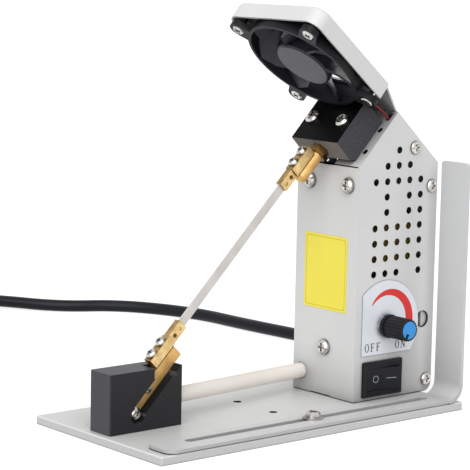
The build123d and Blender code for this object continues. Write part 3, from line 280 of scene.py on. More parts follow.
grain, entry, leave = start_group("fine_grain", GRAIN_SOCKETS, ["Height", "Cloud"])
grain.links.new(object_noise(grain, entry.outputs["Scale"], GRAIN_DETAIL), leave.inputs["Height"])
grain.links.new(object_noise(grain, entry.outputs["Cloud Scale"], CLOUD_DETAIL), leave.inputs["Cloud"])
print("made", grain.name)

# %% [markdown]
# A saw or a file leaves lines along the work, and metal tarnishes in patches over them. The lines could
# be cut into the mesh, but they are far finer than any face. Stretched noise is enough for them, turned
# to the slant of the clamps, and a second noise gives the patches.

# %% Tool lines along the slanted clamps, for machined metal
LINE_SOCKETS = {"Scale": 260.0, "Cloud Scale": 90.0}
LINE_STRETCH = (0.06, 1.0, 1.0)
LINE_DETAIL = 3.0
TARNISH_DETAIL = 4.0
CLAMP_SLANT = math.radians(45)

drawn, entry, leave = start_group("drawn_lines", LINE_SOCKETS, ["Lines", "Tarnish"])
lines = object_noise(drawn, entry.outputs["Scale"], LINE_DETAIL, LINE_STRETCH, CLAMP_SLANT)
drawn.links.new(lines, leave.inputs["Lines"])
drawn.links.new(object_noise(drawn, entry.outputs["Cloud Scale"], TARNISH_DETAIL), leave.inputs["Tarnish"])
print("made", drawn.name)

# %% [markdown]
# Edges get a tone of their own. On paint, plastic and plated metal it is lighter: partly the coat worn
# through, partly a painted highlight where a rounded edge would catch the light. On brass it is darker,
# a painted shadow line. A mask could be painted by hand, but it would have to be painted again after
# each change of shape. The Bevel node gives the normal that a rounded edge would have, and where that
# turns away from the real normal, there is an edge. Noise breaks the mask into patches.

# %% Worn edges and painted edge light
BEVEL_SAMPLES = 4
PATCH_SCALE = 140.0
PATCH_DETAIL = 4.0
PATCH_GAIN = 5.0

edge_tone_group, entry, leave = start_group("edge_wear_and_painted_light", {"Amount": 1.0, "Radius": 0.5 * MM}, ["Mask"])
round_edge = edge_tone_group.nodes.new("ShaderNodeBevel")
round_edge.samples = BEVEL_SAMPLES
edge_tone_group.links.new(entry.outputs["Radius"], round_edge.inputs["Radius"])
true_normal = edge_tone_group.nodes.new("ShaderNodeNewGeometry").outputs["Normal"]
alike = dot_node(edge_tone_group, round_edge.outputs["Normal"], true_normal)
turned_away = math_node(edge_tone_group, "SUBTRACT", 1.0, alike)
patchy = math_node(edge_tone_group, "MULTIPLY", object_noise(edge_tone_group, PATCH_SCALE, PATCH_DETAIL), PATCH_GAIN)
edges = math_node(edge_tone_group, "MULTIPLY", turned_away, patchy)
edge_tone_mask = math_node(edge_tone_group, "MULTIPLY", edges, entry.outputs["Amount"], clamp=True)
edge_tone_group.links.new(edge_tone_mask, leave.inputs["Mask"])
print("made", edge_tone_group.name)

# %% [markdown]
# The Ambient Occlusion node measures how open the space round a point is, and a closed-in point gets
# a darker tone: painted shade, with some dust in it. With a reach of a millimetre it darkens seams and
# screw recesses, and with a few centimetres it paints the soft shade where two sheets meet.

# %% Painted shade in hollows
SHELTER_SAMPLES = 6
OPEN_ENOUGH = 0.85
SHADE_GAIN = 2.2

painted_shade_and_dirt, entry, leave = start_group("painted_shade_and_dirt", {"Reach": 1.0 * MM}, ["Mask"])
shelter = painted_shade_and_dirt.nodes.new("ShaderNodeAmbientOcclusion")
shelter.samples = SHELTER_SAMPLES
painted_shade_and_dirt.links.new(entry.outputs["Reach"], shelter.inputs["Distance"])
hidden = math_node(painted_shade_and_dirt, "SUBTRACT", OPEN_ENOUGH, shelter.outputs["AO"])
painted_shade_and_dirt.links.new(math_node(painted_shade_and_dirt, "MULTIPLY", hidden, SHADE_GAIN, clamp=True), leave.inputs["Mask"])
print("made", painted_shade_and_dirt.name)

# %% [markdown]
# A block that was sawn on two sides looks different there, and the same test gives one side of a
# part a lighter or darker tone as painted light. Each side could have a material slot of its own, but
# comparing the face's normal with a direction needs no work on the mesh. Along takes the faces that
# look that way, and Across also those that look the opposite way.

# %% Faces that look one way
SAME_WAY = 0.9

facing, entry, leave = start_group("facing", {"X": 0.0, "Y": 0.0, "Z": 0.0}, ["Along", "Across"])
wanted = facing.nodes.new("ShaderNodeCombineXYZ")
for label in "XYZ":
    facing.links.new(entry.outputs[label], wanted.inputs[label])
face_normal = facing.nodes.new("ShaderNodeNewGeometry").outputs["True Normal"]
towards = dot_node(facing, face_normal, wanted.outputs[0])
either = math_node(facing, "ABSOLUTE", towards)
facing.links.new(math_node(facing, "GREATER_THAN", towards, SAME_WAY), leave.inputs["Along"])
facing.links.new(math_node(facing, "GREATER_THAN", either, SAME_WAY), leave.inputs["Across"])
print("made", facing.name)

# %% [markdown]
# ## Finishes
# One function builds every finish. It mixes the main colour with a cloudy second one, gives the edges
# a third tone that is wear together with painted edge light, gives chosen sides a tone of their own,
# paints shade into hollows, varies the roughness with the same cloud, and turns the grain into a
# shallow bump. The constants that don't change over a surface go straight into the shader's own
# sockets. Colours are written as a colour picker shows them, and lengths in millimetres.

# %% Colours and masks
NOISE_LOW = 0.3
NOISE_HIGH = 0.7


def srgb(red, green, blue):
    return tuple((value / 255) ** 2.2 for value in (red, green, blue)) + (1.0,)


def mix_colour(tree, mask, first, second):
    node = tree.nodes.new("ShaderNodeMix")
    node.data_type = "RGBA"
    tree.links.new(mask, node.inputs["Factor"])
    feed(tree, node.inputs["A"], first)
    feed(tree, node.inputs["B"], second)
    return node.outputs["Result"]


def spread(tree, value, low, high):
    node = tree.nodes.new("ShaderNodeMapRange")
    node.inputs["From Min"].default_value = NOISE_LOW
    node.inputs["From Max"].default_value = NOISE_HIGH
    node.inputs["To Min"].default_value = low
    node.inputs["To Max"].default_value = high
    tree.links.new(value, node.inputs["Value"])
    return node.outputs["Result"]


def add_group(tree, name, **values):
    node = tree.nodes.new("ShaderNodeGroup")
    node.node_tree = bpy.data.node_groups[name]
    for label, value in values.items():
        node.inputs[label].default_value = value
    return node


print("colour helpers ready")

# %% Layers of a finish
FAINT_LINES = 0.5


# Used for the sawn faces of the laminate and for painted light on sides of brass, laminate and fan.
def tone_by_side(tree, colour, dull, height, sides):
    for way, socket, tone, dullness in sides:
        turned_to = add_group(tree, "facing", X=way[0], Y=way[1], Z=way[2]).outputs[socket]
        lined = math_node(tree, "MULTIPLY", turned_to, spread(tree, height, FAINT_LINES, 1.0))
        colour = mix_colour(tree, lined, colour, tone)
        extra = math_node(tree, "MULTIPLY", turned_to, dullness)
        dull = math_node(tree, "ADD", dull, extra)
    return colour, dull


def dark_hollows(tree, colour, shades):
    for tone, reach in shades:
        hollow = add_group(tree, "painted_shade_and_dirt", Reach=reach * MM)
        colour = mix_colour(tree, hollow.outputs["Mask"], colour, tone)
    return colour


def raised(tree, height, bump, depth):
    relief = tree.nodes.new("ShaderNodeBump")
    relief.inputs["Strength"].default_value = bump
    relief.inputs["Distance"].default_value = depth * MM
    tree.links.new(height, relief.inputs["Height"])
    return relief.outputs["Normal"]


print("layer helpers ready")

# %% The finish builder
def finish(
    name, main, cloudy, edge_tone, rough, metallic=0.0, specular=0.5,
    texture="fine_grain", scale=1200.0, cloud=None, bump=0.1, depth=0.02,
    edge=0.3, radius=0.5, hollow_shade_tone=None, reach=1.0, sides=(), shades=(),
):
    material = bpy.data.materials.new(name)
    material.use_nodes = True
    tree = material.node_tree
    shader = tree.nodes["Principled BSDF"]
    skin = add_group(tree, texture, Scale=scale)
    if cloud:
        skin.inputs["Cloud Scale"].default_value = cloud
    height, patches = skin.outputs[0], skin.outputs[1]
    colour = mix_colour(tree, spread(tree, patches, 0.0, 1.0), main, cloudy)
    dull = spread(tree, patches, *rough)
    colour, dull = tone_by_side(tree, colour, dull, height, sides)
    # The edge tone is partly wear and partly painted edge light: a highlight on most finishes, a shadow line
    # on brass.
    if edge > 0:
        edge_marking = add_group(tree, "edge_wear_and_painted_light", Amount=edge, Radius=radius * MM)
        colour = mix_colour(tree, edge_marking.outputs["Mask"], colour, edge_tone)
    # The hollow tone and the shades darken closed-in places: painted shade, with some dust.
    if hollow_shade_tone:
        shades = [*shades, (hollow_shade_tone, reach)]
    colour = dark_hollows(tree, colour, shades)
    tree.links.new(colour, shader.inputs["Base Color"])
    tree.links.new(dull, shader.inputs["Roughness"])
    tree.links.new(raised(tree, height, bump, depth), shader.inputs["Normal"])
    shader.inputs["Metallic"].default_value = metallic
    shader.inputs["Specular IOR Level"].default_value = specular
    return material


def wear_finish(material, *names):
    for name in names:
        target = nodes[name]
        if target.material_slots:
            for slot in target.material_slots:
                slot.material = material
        else:
            target.data.materials.append(material)
    print(material.name, "on", ", ".join(names))


print("finish builder ready")

# %% [markdown]
# ### Painted sheet
# The plate, the housing, the fan tray and the stop share one light grey powder coat. It is never
# quite smooth, its folded edges are painted a brighter grey, partly as a highlight and partly as
# wear, and a painted shade darkens it where sheets meet. A plain grey would look like a drawing, so
# one function gives the coat its pebble and edges, and each sheet adds its own painted shades: a tone,
# and how far it reaches out of a corner in millimetres.

# %% Powder coat
# Painted shade: a soft darkening that reaches a few centimetres out of corners.
SOFT_SHADE = (srgb(160, 160, 159), 36.0)
STOP_FOLD_SHADE = (srgb(138, 138, 138), 6.0)


def powder_coat(name, main, cloudy, *shades):
    # Seams and screw recesses get a near-black painted shade.
    return finish(
        name, main, cloudy, srgb(228, 228, 227), (0.38, 0.50), scale=1500.0, bump=0.22, edge=0.25,
        depth=0.05, hollow_shade_tone=srgb(64, 64, 64), reach=1.0, shades=shades,
    )


def light_coat(name, *shades):
    return powder_coat(name, srgb(217, 217, 216), srgb(212, 213, 213), *shades)


wear_finish(light_coat("grey_powder_coat", SOFT_SHADE), "rear_cover", "fan_tray")
# The stop's coat is a slightly darker copy of the same grey, a painted shade, and its fold gets a painted
# shade of its own.
stop_coat = powder_coat(
    "stop_powder_coat", srgb(207, 208, 208), srgb(202, 203, 204), SOFT_SHADE, STOP_FOLD_SHADE,
)
wear_finish(stop_coat, "stop_bracket")

# %% [markdown]
# The walls of the two spare holes in the plate are given a near-black tone, a painted shade. A second
# material slot on the holes' walls would do it too, but the CAD mesh stays as it is here, so the place
# decides: a point belongs to a hole when it is close to the hole's axis and below the plate's face.

# %% Painted shade in the plate's spare holes
PLATE_FACE = 4.0
UNDER_FACE = 0.1
SPARE_HOLES = [(-0.5, -10.8), (-0.5, 15.7)]
HOLE_REACH = 2.2

hole_shade_group, entry, leave = start_group("spare_hole_shade", {}, ["Mask"])
apart = hole_shade_group.nodes.new("ShaderNodeSeparateXYZ")
hole_shade_group.links.new(object_place(hole_shade_group), apart.inputs[0])
in_holes = 0.0
for x, y in SPARE_HOLES:
    across = math_node(hole_shade_group, "SUBTRACT", apart.outputs["X"], x * MM)
    along = math_node(hole_shade_group, "SUBTRACT", apart.outputs["Y"], y * MM)
    squares = [math_node(hole_shade_group, "MULTIPLY", gap, gap) for gap in (across, along)]
    near = math_node(hole_shade_group, "LESS_THAN", math_node(hole_shade_group, "ADD", *squares), (HOLE_REACH * MM) ** 2)
    in_holes = math_node(hole_shade_group, "MAXIMUM", in_holes, near)
below = math_node(hole_shade_group, "LESS_THAN", apart.outputs["Z"], (PLATE_FACE - UNDER_FACE) * MM)
hole_shade_group.links.new(math_node(hole_shade_group, "MULTIPLY", in_holes, below), leave.inputs["Mask"])
print("made", hole_shade_group.name, "for", len(SPARE_HOLES), "holes")

# %% Paint the plate
# A paler version of the soft painted shade, for the plate.
LIGHT_SOFT_SHADE = (srgb(188, 188, 187), 36.0)


# Mixes a flat tone over the finish where a group's mask says; both uses paint shade.
def tone_over(material, mask, tone):
    tree = material.node_tree
    shader = tree.nodes["Principled BSDF"]
    outer = shader.inputs["Base Color"].links[0].from_socket
    covered = mix_colour(tree, add_group(tree, mask).outputs["Mask"], outer, tone)
    tree.links.new(covered, shader.inputs["Base Color"])


plate_paint = light_coat("plate_powder_coat", LIGHT_SOFT_SHADE)
# The spare holes' walls get a near-black painted shade.
tone_over(plate_paint, "spare_hole_shade", srgb(30, 30, 31))
wear_finish(plate_paint, "base_plate")

# %% [markdown]
# The inside of the shell is given a near-black tone, a painted shade, so that the vents read as black
# dots. A point is inside when it lies behind every face of the housing by a coat of paint. Seven planes
# say that, each as a normal and a point on it.

# %% Where the inside of the housing is
ROOF = math.radians(46.5)
REAR_ROOF = math.radians(42.389)
ROOF_WAY = (-math.sin(ROOF), 0.0, math.cos(ROOF))
REAR_ROOF_WAY = (math.sin(REAR_ROOF), 0.0, math.cos(REAR_ROOF))
FRONT_WALL_X = 43.0
REAR_WALL_X = 96.0
NEAR_WALL_Y = -19.6
FAR_WALL_Y = 24.4
EAVE = (FRONT_WALL_X, 0.0, 118.8)
RIDGE = (67.6, 0.0, 144.72)
HOUSING_FACES = [
    ((-1.0, 0.0, 0.0), EAVE),
    ((1.0, 0.0, 0.0), (REAR_WALL_X, 0.0, 0.0)),
    ((0.0, -1.0, 0.0), (0.0, NEAR_WALL_Y, 0.0)),
    ((0.0, 1.0, 0.0), (0.0, FAR_WALL_Y, 0.0)),
    ((0.0, 0.0, -1.0), (0.0, 0.0, PLATE_FACE)),
    (ROOF_WAY, EAVE),
    (REAR_ROOF_WAY, RIDGE),
]
COAT = 0.2

inside, entry, leave = start_group("inside_housing", {}, ["Mask"])
where = object_place(inside)
behind_all = 1.0
for normal, point in HOUSING_FACES:
    limit = (Vector(normal).dot(Vector(point)) - COAT) * MM
    behind = math_node(inside, "LESS_THAN", dot_node(inside, where, normal), limit)
    behind_all = math_node(inside, "MULTIPLY", behind_all, behind)
inside.links.new(behind_all, leave.inputs["Mask"])
print("made", inside.name, "from", len(HOUSING_FACES), "planes")

# %% Paint the shell, with a painted shade inside
# Painted shade within about a centimetre of what closes the walls in, such as the plate.
SHELL_FOOT_SHADE = (srgb(132, 132, 131), 9.0)

shell_paint = light_coat("shell_powder_coat", SOFT_SHADE, SHELL_FOOT_SHADE)
# The inside of the shell gets a near-black painted shade.
tone_over(shell_paint, "inside_housing", srgb(34, 34, 36))
wear_finish(shell_paint, "housing_shell")

# %% [markdown]
# ### Bright fasteners
# Zinc-plated screws mirror the room. A perfect mirror would look like chrome, so a small, strong
# cloud of a darker tone paints a mottled reflection on them, and a painted shade darkens the recesses.
# The dial's nut and shaft are dull nickel, with a painted shade where the knob closes round them.

# %% Zinc and nickel
# The darker cloud is a painted reflection, and the hollow tone a painted shade in the recesses.
zinc = finish(
    "zinc_plated_steel", srgb(224, 222, 218), srgb(156, 151, 145), srgb(232, 230, 227),
    (0.12, 0.30), metallic=1.0, scale=900.0, cloud=420.0, bump=0.08, edge=0.2,
    hollow_shade_tone=srgb(34, 32, 30), reach=0.7,
)
wear_finish(
    zinc, "base_screws", "flange_nuts", "side_screws", "front_screws",
    "upper_clamp_screws", "lower_clamp_screws", "terminal_screw",
    "terminal_washer", "electrode_grub", "upper_block_screws", "fan_screws", "tray_screws",
    "stop_screw", "stop_washer", "transformer_mount",
)
# The nut and shaft get a painted shade, reaching 4 mm out of the corners round the knob.
shaded_nickel = finish(
    "shaded_nickel", srgb(206, 208, 213), srgb(194, 196, 202), srgb(214, 215, 218),
    (0.40, 0.52), metallic=0.2, scale=900.0, edge=0.2, hollow_shade_tone=srgb(120, 124, 132), reach=4.0,
)
wear_finish(shaded_nickel, "potentiometer", "control_nut", "control_shaft")

# %% [markdown]
# ### Brass and the blade
# The clamps were sawn and filed from brass bar, so fine lines run along their length. The side with
# the screws is given a darker, duller tone, a painted shade, the edges a dark painted shadow line, and
# the seams a painted shade. One function gives all of that, and the pieces differ in tone: filed
# holders, smoother bars, and a nut that the heat has tinted brown. The blade is a pale strip, drawn to
# its thickness, with lines too fine to mirror anything.

# %% Filed, smooth and heat-tinted brass
SCREW_SIDE = (-math.sqrt(0.5), 0.0, math.sqrt(0.5))


def brass_finish(name, main, cloudy, scale=200.0, reach=0.6, rough=(0.24, 0.40), metallic=1.0, cloud=90.0):
    # The edge tone is a dark painted shadow line, the hollow tone a painted shade in the seams, and the
    # screw side's darker tone a painted shade.
    return finish(
        name, main, cloudy, srgb(84, 62, 34), rough, metallic=metallic, texture="drawn_lines", bump=0.3,
        edge=0.9, depth=0.04, scale=scale, radius=0.22, hollow_shade_tone=srgb(52, 38, 20), reach=reach, cloud=cloud,
        sides=[(SCREW_SIDE, "Along", srgb(142, 116, 72), 0.12)],
    )


filed_brass = brass_finish(
    "filed_brass", srgb(236, 205, 148), srgb(204, 169, 112), scale=260.0, reach=1.5, cloud=300.0,
)
bar_brass = brass_finish(
    "bar_brass", srgb(235, 194, 126), srgb(205, 160, 96), reach=0.9, rough=(0.48, 0.6), metallic=0.8,
    cloud=240.0,
)
tinted_brass = brass_finish("heat_tinted_brass", srgb(150, 116, 68), srgb(96, 70, 40))
wear_finish(filed_brass, "upper_holder", "lower_holder", "switch_terminals", "board_pillar")
wear_finish(bar_brass, "lower_electrode", "upper_electrode")
wear_finish(tinted_brass, "rod_nut", "blade_set_screws")

# %% The blade strip
strip = finish(
    "blade_strip", srgb(213, 209, 206), srgb(200, 196, 191), srgb(232, 230, 227),
    (0.42, 0.58), metallic=0.55, texture="drawn_lines", bump=0.15, edge=0.2, scale=400.0,
)
wear_finish(strip, "blade")

# %% [markdown]
# ### Insulators
# The blocks are sawn from black laminated sheet: pressed faces are smooth and deep black, and sawn ones
# are grey and dull. The grey given to the sawn faces and the top is partly the laminate's own tone and
# partly painted light, and the lighter edges are partly a painted highlight. The tube that brings
# current to the lower clamp is a cream sleeve with a faint weave, fine enough for the same grain that
# paint has.

# %% Laminate blocks
DOWN_ROOF = (-math.cos(ROOF), 0.0, -math.sin(ROOF))


def laminate(name, main, cloudy, rough, shine, *sides):
    return finish(
        name, main, cloudy, srgb(92, 92, 96), rough, scale=2200.0, bump=0.2, edge=0.4, depth=0.04,
        radius=0.3, specular=shine, sides=sides,
    )


# The lighter side tones are partly the laminate's own and partly painted light.
foot_laminate = laminate(
    "black_laminate_foot", srgb(28, 28, 31), srgb(36, 36, 39), (0.38, 0.52), 0.32,
    ((1.0, 0.0, 0.0), "Across", srgb(80, 80, 86), 0.2),
    ((0.0, 0.0, 1.0), "Along", srgb(62, 62, 67), 0.0),
    (SCREW_SIDE, "Across", srgb(6, 6, 7), 0.6),
)
roof_laminate = laminate(
    "black_laminate_roof", srgb(8, 8, 9), srgb(13, 13, 14), (0.36, 0.48), 0.06,
    ((0.0, 1.0, 0.0), "Across", srgb(86, 85, 90), 0.2),
    (DOWN_ROOF, "Across", srgb(146, 142, 138), 0.2),
)
wear_finish(foot_laminate, "lower_block")
wear_finish(roof_laminate, "upper_block")

# %% Cream sleeve
sleeve = finish(
    "cream_sleeve", srgb(231, 225, 219), srgb(219, 212, 206), srgb(236, 233, 228),
    (0.50, 0.66), scale=2600.0, bump=0.3, edge=0.1, depth=0.04,
)
wear_finish(sleeve, "lead_conduit")

# %% [markdown]
# ### Plastics and rubber
# Fan, knob and switch are all black, but not the same black: the fan is a matt glass-filled
# nylon, the knob is a shinier moulding, and the switch has a fine spark-eroded face. One function
# makes them alike in their edges and gaps: lighter edges, partly wear and partly a painted highlight,
# and gaps darkened by a painted shade. Each moulding keeps its own tone, gloss and grain, and the fan's
# faces turned down its axis get a lighter, bluish painted sheen. The blue cap and the white dial foil
# are smooth, the dial with a painted shade close round the knob, and the lead's PVC is softer and has
# no worn edges.

# %% Moulded blacks
FAN_TILT = math.radians(50)
FAN_WAY = (-math.cos(FAN_TILT), 0.0, -math.sin(FAN_TILT))


def moulding(name, main, cloudy, rough, scale, shine=0.2, sides=(), gap=1.6):
    # Lighter edges are partly a painted highlight; gaps get a near-black painted shade.
    return finish(
        name, main, cloudy, srgb(96, 96, 101), rough, scale=scale, bump=0.2, edge=0.45, radius=0.22,
        specular=shine, hollow_shade_tone=srgb(3, 3, 4), reach=gap, sides=sides,
    )


# The fan's faces turned down its axis get a lighter, bluish painted sheen, on frame and rotor.
frame_nylon = moulding(
    "matt_black_nylon", srgb(18, 18, 22), srgb(26, 26, 31), (0.40, 0.54), 1800.0,
    sides=[(FAN_WAY, "Along", srgb(34, 34, 40), 0.0)],
)
rotor_nylon = moulding(
    "rotor_nylon", srgb(36, 36, 44), srgb(44, 44, 53), (0.32, 0.44), 1800.0, 0.35,
    sides=[(FAN_WAY, "Along", srgb(80, 78, 90), 0.0)],
)
knob_black = moulding("knob_moulding", srgb(24, 24, 27), srgb(32, 32, 36), (0.34, 0.46), 1600.0)
switch_black = moulding("switch_moulding", srgb(24, 25, 27), srgb(30, 31, 34), (0.36, 0.48), 2600.0, gap=2.0)
rocker_black = moulding("rocker_moulding", srgb(24, 25, 29), srgb(31, 32, 36), (0.30, 0.42), 2600.0, gap=2.4)
wear_finish(frame_nylon, "fan_frame")
wear_finish(rotor_nylon, "fan_rotor")
wear_finish(knob_black, "knob")
wear_finish(switch_black, "switch_frame")
wear_finish(rocker_black, "rocker")

# %% Blue cap, white dial and the lead's PVC
# The cap's lighter edge is partly a painted highlight, and its hollows get a painted shade.
cap_blue = finish(
    "blue_cap", srgb(58, 152, 226), srgb(50, 140, 216), srgb(120, 190, 236),
    (0.36, 0.46), scale=1500.0, bump=0.08, edge=0.2, hollow_shade_tone=srgb(20, 40, 62), reach=1.2,
)
wear_finish(cap_blue, "knob_cap")
# A painted shade darkens the foil within a few millimetres of the knob.
dial_white = finish(
    "dial_foil", srgb(228, 231, 237), srgb(222, 226, 233), srgb(236, 238, 240),
    (0.28, 0.40), scale=1200.0, bump=0.05, edge=0.1, shades=[(srgb(124, 130, 142), 4.0)],
)
wear_finish(dial_white, "dial_plate")
lead_pvc = finish(
    "lead_pvc", srgb(18, 19, 25), srgb(26, 28, 35), srgb(60, 62, 68),
    (0.30, 0.42), scale=1400.0, bump=0.12, edge=0.0, specular=0.2,
)
wear_finish(lead_pvc, "strain_relief", "cord_tie", "plug_body")
lead_curve.materials.append(lead_pvc)

# %% [markdown]
# ### What shows only through holes and from behind
# Wires, copper, the transformer and its board are seen through the vents or not at all, but each
# still gets the finish of its own material, and the red wire is darkened by a painted shade. They need
# no worn edges, so one short function does.

# %% Wires, windings, board and pins
def quiet(name, main, cloudy, rough, metallic, *targets):
    wear_finish(finish(name, main, cloudy, cloudy, rough, metallic=metallic, edge=0.0), *targets)


# The red is darkened as a painted shade, for a wire that lies in shadow under the tray.
quiet("red_wire", srgb(136, 26, 28), srgb(116, 20, 24), (0.35, 0.5), 0.0, "fan_lead_red")
quiet("black_wire", srgb(28, 28, 30), srgb(38, 38, 41), (0.35, 0.5), 0.0, "fan_lead_black", "upper_lead")
quiet("copper", srgb(196, 120, 78), srgb(170, 96, 60), (0.25, 0.4), 1.0, "lead_conductor", "fan_stator")
quiet("core_laminations", srgb(120, 120, 124), srgb(98, 98, 103), (0.4, 0.6), 0.9, "transformer_core")
quiet("winding_tape", srgb(206, 172, 66), srgb(188, 152, 54), (0.45, 0.6), 0.0, "transformer_coil")
quiet("board_mask", srgb(36, 92, 56), srgb(30, 80, 48), (0.35, 0.5), 0.0, "control_board")
quiet("board_components", srgb(38, 38, 42), srgb(52, 52, 57), (0.4, 0.6), 0.0, "board_parts")
quiet("nickel_pins", srgb(208, 206, 200), srgb(186, 184, 178), (0.18, 0.3), 1.0, "plug_pins")

# %% [markdown]
# ## Printed marks
# Print has no thickness to speak of, but a real ink film still stands a hair above its ground. It
# could be a picture on the surface, but a closed sliver of mesh stays sharp from any distance. Its
# outline is drawn flat, in the wall's own across and up, then given a back and a front.

# %% A closed sliver from one outline, or from an outer and an inner ring
def sliver(name, place, outer, inner=None):
    mesh = bmesh.new()
    layers = []
    for level in (0, 1):
        ring = [mesh.verts.new(place(a, b, level)) for a, b in outer]
        hole = [mesh.verts.new(place(a, b, level)) for a, b in inner] if inner else None
        layers.append((ring, hole))
    for ring, hole in layers:
        if hole:
            for i in range(len(ring)):
                j = (i + 1) % len(ring)
                mesh.faces.new((ring[i], ring[j], hole[j], hole[i]))
        else:
            mesh.faces.new(ring)
    for back, front in zip(layers[0], layers[1]):
        if back:
            for i in range(len(back)):
                j = (i + 1) % len(back)
                mesh.faces.new((back[i], back[j], front[j], front[i]))
    bmesh.ops.recalc_face_normals(mesh, faces=mesh.faces)
    bmesh.ops.triangulate(mesh, faces=[face for face in mesh.faces if len(face.verts) > 4])
    data = bpy.data.meshes.new(name)
    mesh.to_mesh(data)
    mesh.free()
    piece = bpy.data.objects.new(name, data)
    scene.collection.objects.link(piece)
    return piece


print("sliver helper ready")

# %% Helpers for print on the dial
INK = 0.03
INK_SUNK = 0.015
DIAL_FACE = -20.0


def ellipse(a, b, half_a, half_b, count=48):
    turns = [2 * math.pi * i / count for i in range(count)]
    return [(a + half_a * math.cos(t), b + half_b * math.sin(t)) for t in turns]


def on_dial(a, b, level):
    return Vector((a, DIAL_FACE + INK_SUNK - (INK + INK_SUNK) * level, b)) * MM


def ink_finish(piece, material, body):
    piece.data.materials.append(material)
    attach(piece, body)


print("ink film:", INK, "mm")

# %% [markdown]
# ### Red heat scale
# The scale round the knob is a crescent that starts as a point and swells clockwise. A ring cut by a
# second circle would not end as broad as it does, so its two edges are smooth functions of the angle,
# each led through three radii.

# %% Draw the crescent
KNOB_X, KNOB_Z = 63.1, 40.5
SCALE_START, SCALE_TOP, SCALE_END = 132.8, 78.0, -14.0
INNER_RADII = (13.9, 14.9, 12.6)
OUTER_RADII = (14.4, 18.1, 17.6)


def through_three(angle, radii):
    stops = (SCALE_START, SCALE_TOP, SCALE_END)
    total = 0.0
    for i, (stop, radius) in enumerate(zip(stops, radii)):
        weight = 1.0
        for j, other in enumerate(stops):
            if j != i:
                weight *= (angle - other) / (stop - other)
        total += radius * weight
    return total


def scale_edge(radii, count=56):
    spots = []
    for i in range(count + 1):
        angle = SCALE_START + (SCALE_END - SCALE_START) * i / count
        out = heading(angle) * through_three(angle, radii)
        spots.append((KNOB_X + out.x, KNOB_Z + out.y))
    return spots


red_ink = finish(
    "red_ink", srgb(222, 52, 46), srgb(212, 44, 42), srgb(226, 74, 66),
    (0.38, 0.48), scale=1400.0, bump=0.05, edge=0.0,
)
crescent = sliver("heat_scale", on_dial, scale_edge(OUTER_RADII) + scale_edge(INNER_RADII)[-1:0:-1])
ink_finish(crescent, red_ink, "tool")
print("heat scale faces:", len(crescent.data.polygons))

# %% [markdown]
# ### OFF and ON
# The two words under the knob are in a bookish serif letter. A font object would need a font file,
# and only three letters are needed, so each is an outline on a grid one unit high, scaled to the
# height of the print.

# %% Outlines of the letters
LETTER_F = [
    (0.02, 0), (0.36, 0), (0.36, 0.05), (0.26, 0.07), (0.26, 0.46), (0.42, 0.46), (0.46, 0.38), (0.50, 0.38),
    (0.50, 0.62), (0.46, 0.62), (0.42, 0.53), (0.26, 0.53), (0.26, 0.93), (0.54, 0.93), (0.61, 0.80),
    (0.65, 0.80), (0.64, 1), (0.02, 1), (0.02, 0.95), (0.12, 0.93), (0.12, 0.07), (0.02, 0.05),
]
LETTER_N = [
    (0.02, 0), (0.28, 0), (0.28, 0.05), (0.18, 0.07), (0.18, 0.78), (0.60, 0), (0.70, 0), (0.70, 0.93),
    (0.78, 0.95), (0.78, 1), (0.54, 1), (0.54, 0.95), (0.63, 0.93), (0.63, 0.26), (0.22, 1), (0.02, 1),
    (0.02, 0.95), (0.11, 0.93), (0.11, 0.07), (0.02, 0.05),
]
O_MIDDLE = (0.36, 0.5)
O_OUTER = (0.34, 0.52)
O_INNER = (0.20, 0.46)
print("corners of F and N:", len(LETTER_F), len(LETTER_N))

# %% Print the words
LETTER_HEIGHT = 4.1
LETTER_PITCH = 3.8
OFF_AT = (55.1, 28.3)
ON_AT = (73.6, 28.2)
ink = finish("black_ink", srgb(18, 18, 22), srgb(28, 28, 32), srgb(46, 46, 50), (0.4, 0.5), edge=0.0)


def letter(name, shape, left, base):
    def sized(points):
        return [(left + a * LETTER_HEIGHT, base + b * LETTER_HEIGHT) for a, b in points]

    if shape == "O":
        ring = sized(ellipse(*O_MIDDLE, *O_OUTER))
        hole = sized(ellipse(*O_MIDDLE, *O_INNER))
        piece = sliver(name, on_dial, ring, hole)
    else:
        piece = sliver(name, on_dial, sized(shape))
    ink_finish(piece, ink, "tool")


def word(name, shapes, middle, base):
    left = middle - LETTER_PITCH * len(shapes) / 2
    for i, shape in enumerate(shapes):
        letter(f"{name}_{i + 1}", shape, left + LETTER_PITCH * i, base)
    print(name, "letters:", len(shapes))


word("word_off", ["O", LETTER_F, LETTER_F], *OFF_AT)
word("word_on", ["O", LETTER_N], *ON_AT)

# %% [markdown]
# ### Marks on the rocker
# The rocker is dished, so a flat mark would sink in at one side. Each corner of the mark is dropped
# onto the rocker along a ray instead, and the mark rides on the rocker's own body.

# %% Drop a point onto the rocker
RAY_START = -60.0
MARK_SUNK = 0.02
MARK_FILM = 0.05

bpy.context.view_layer.update()
rocker_tree = BVHTree.FromObject(nodes["rocker"], bpy.context.evaluated_depsgraph_get())


def on_rocker(a, b, level):
    start = Vector((a, RAY_START, b)) * MM
    hit = rocker_tree.ray_cast(start, Vector((0, 1, 0)))[0]
    return hit + Vector((0, (MARK_SUNK - MARK_FILM * level) * MM, 0))


print("mark film:", MARK_FILM, "mm")

# %% Print the ring and the bar
SWITCH_X, SWITCH_Z = 61.4, 14.6
MARK_WIDTH = 0.32
RING_X, RING_HALF_A, RING_HALF_B = SWITCH_X - 5.0, 1.9, 1.75
BAR_FROM, BAR_TO, BAR_PARTS = SWITCH_X + 1.6, SWITCH_X + 6.6, 8

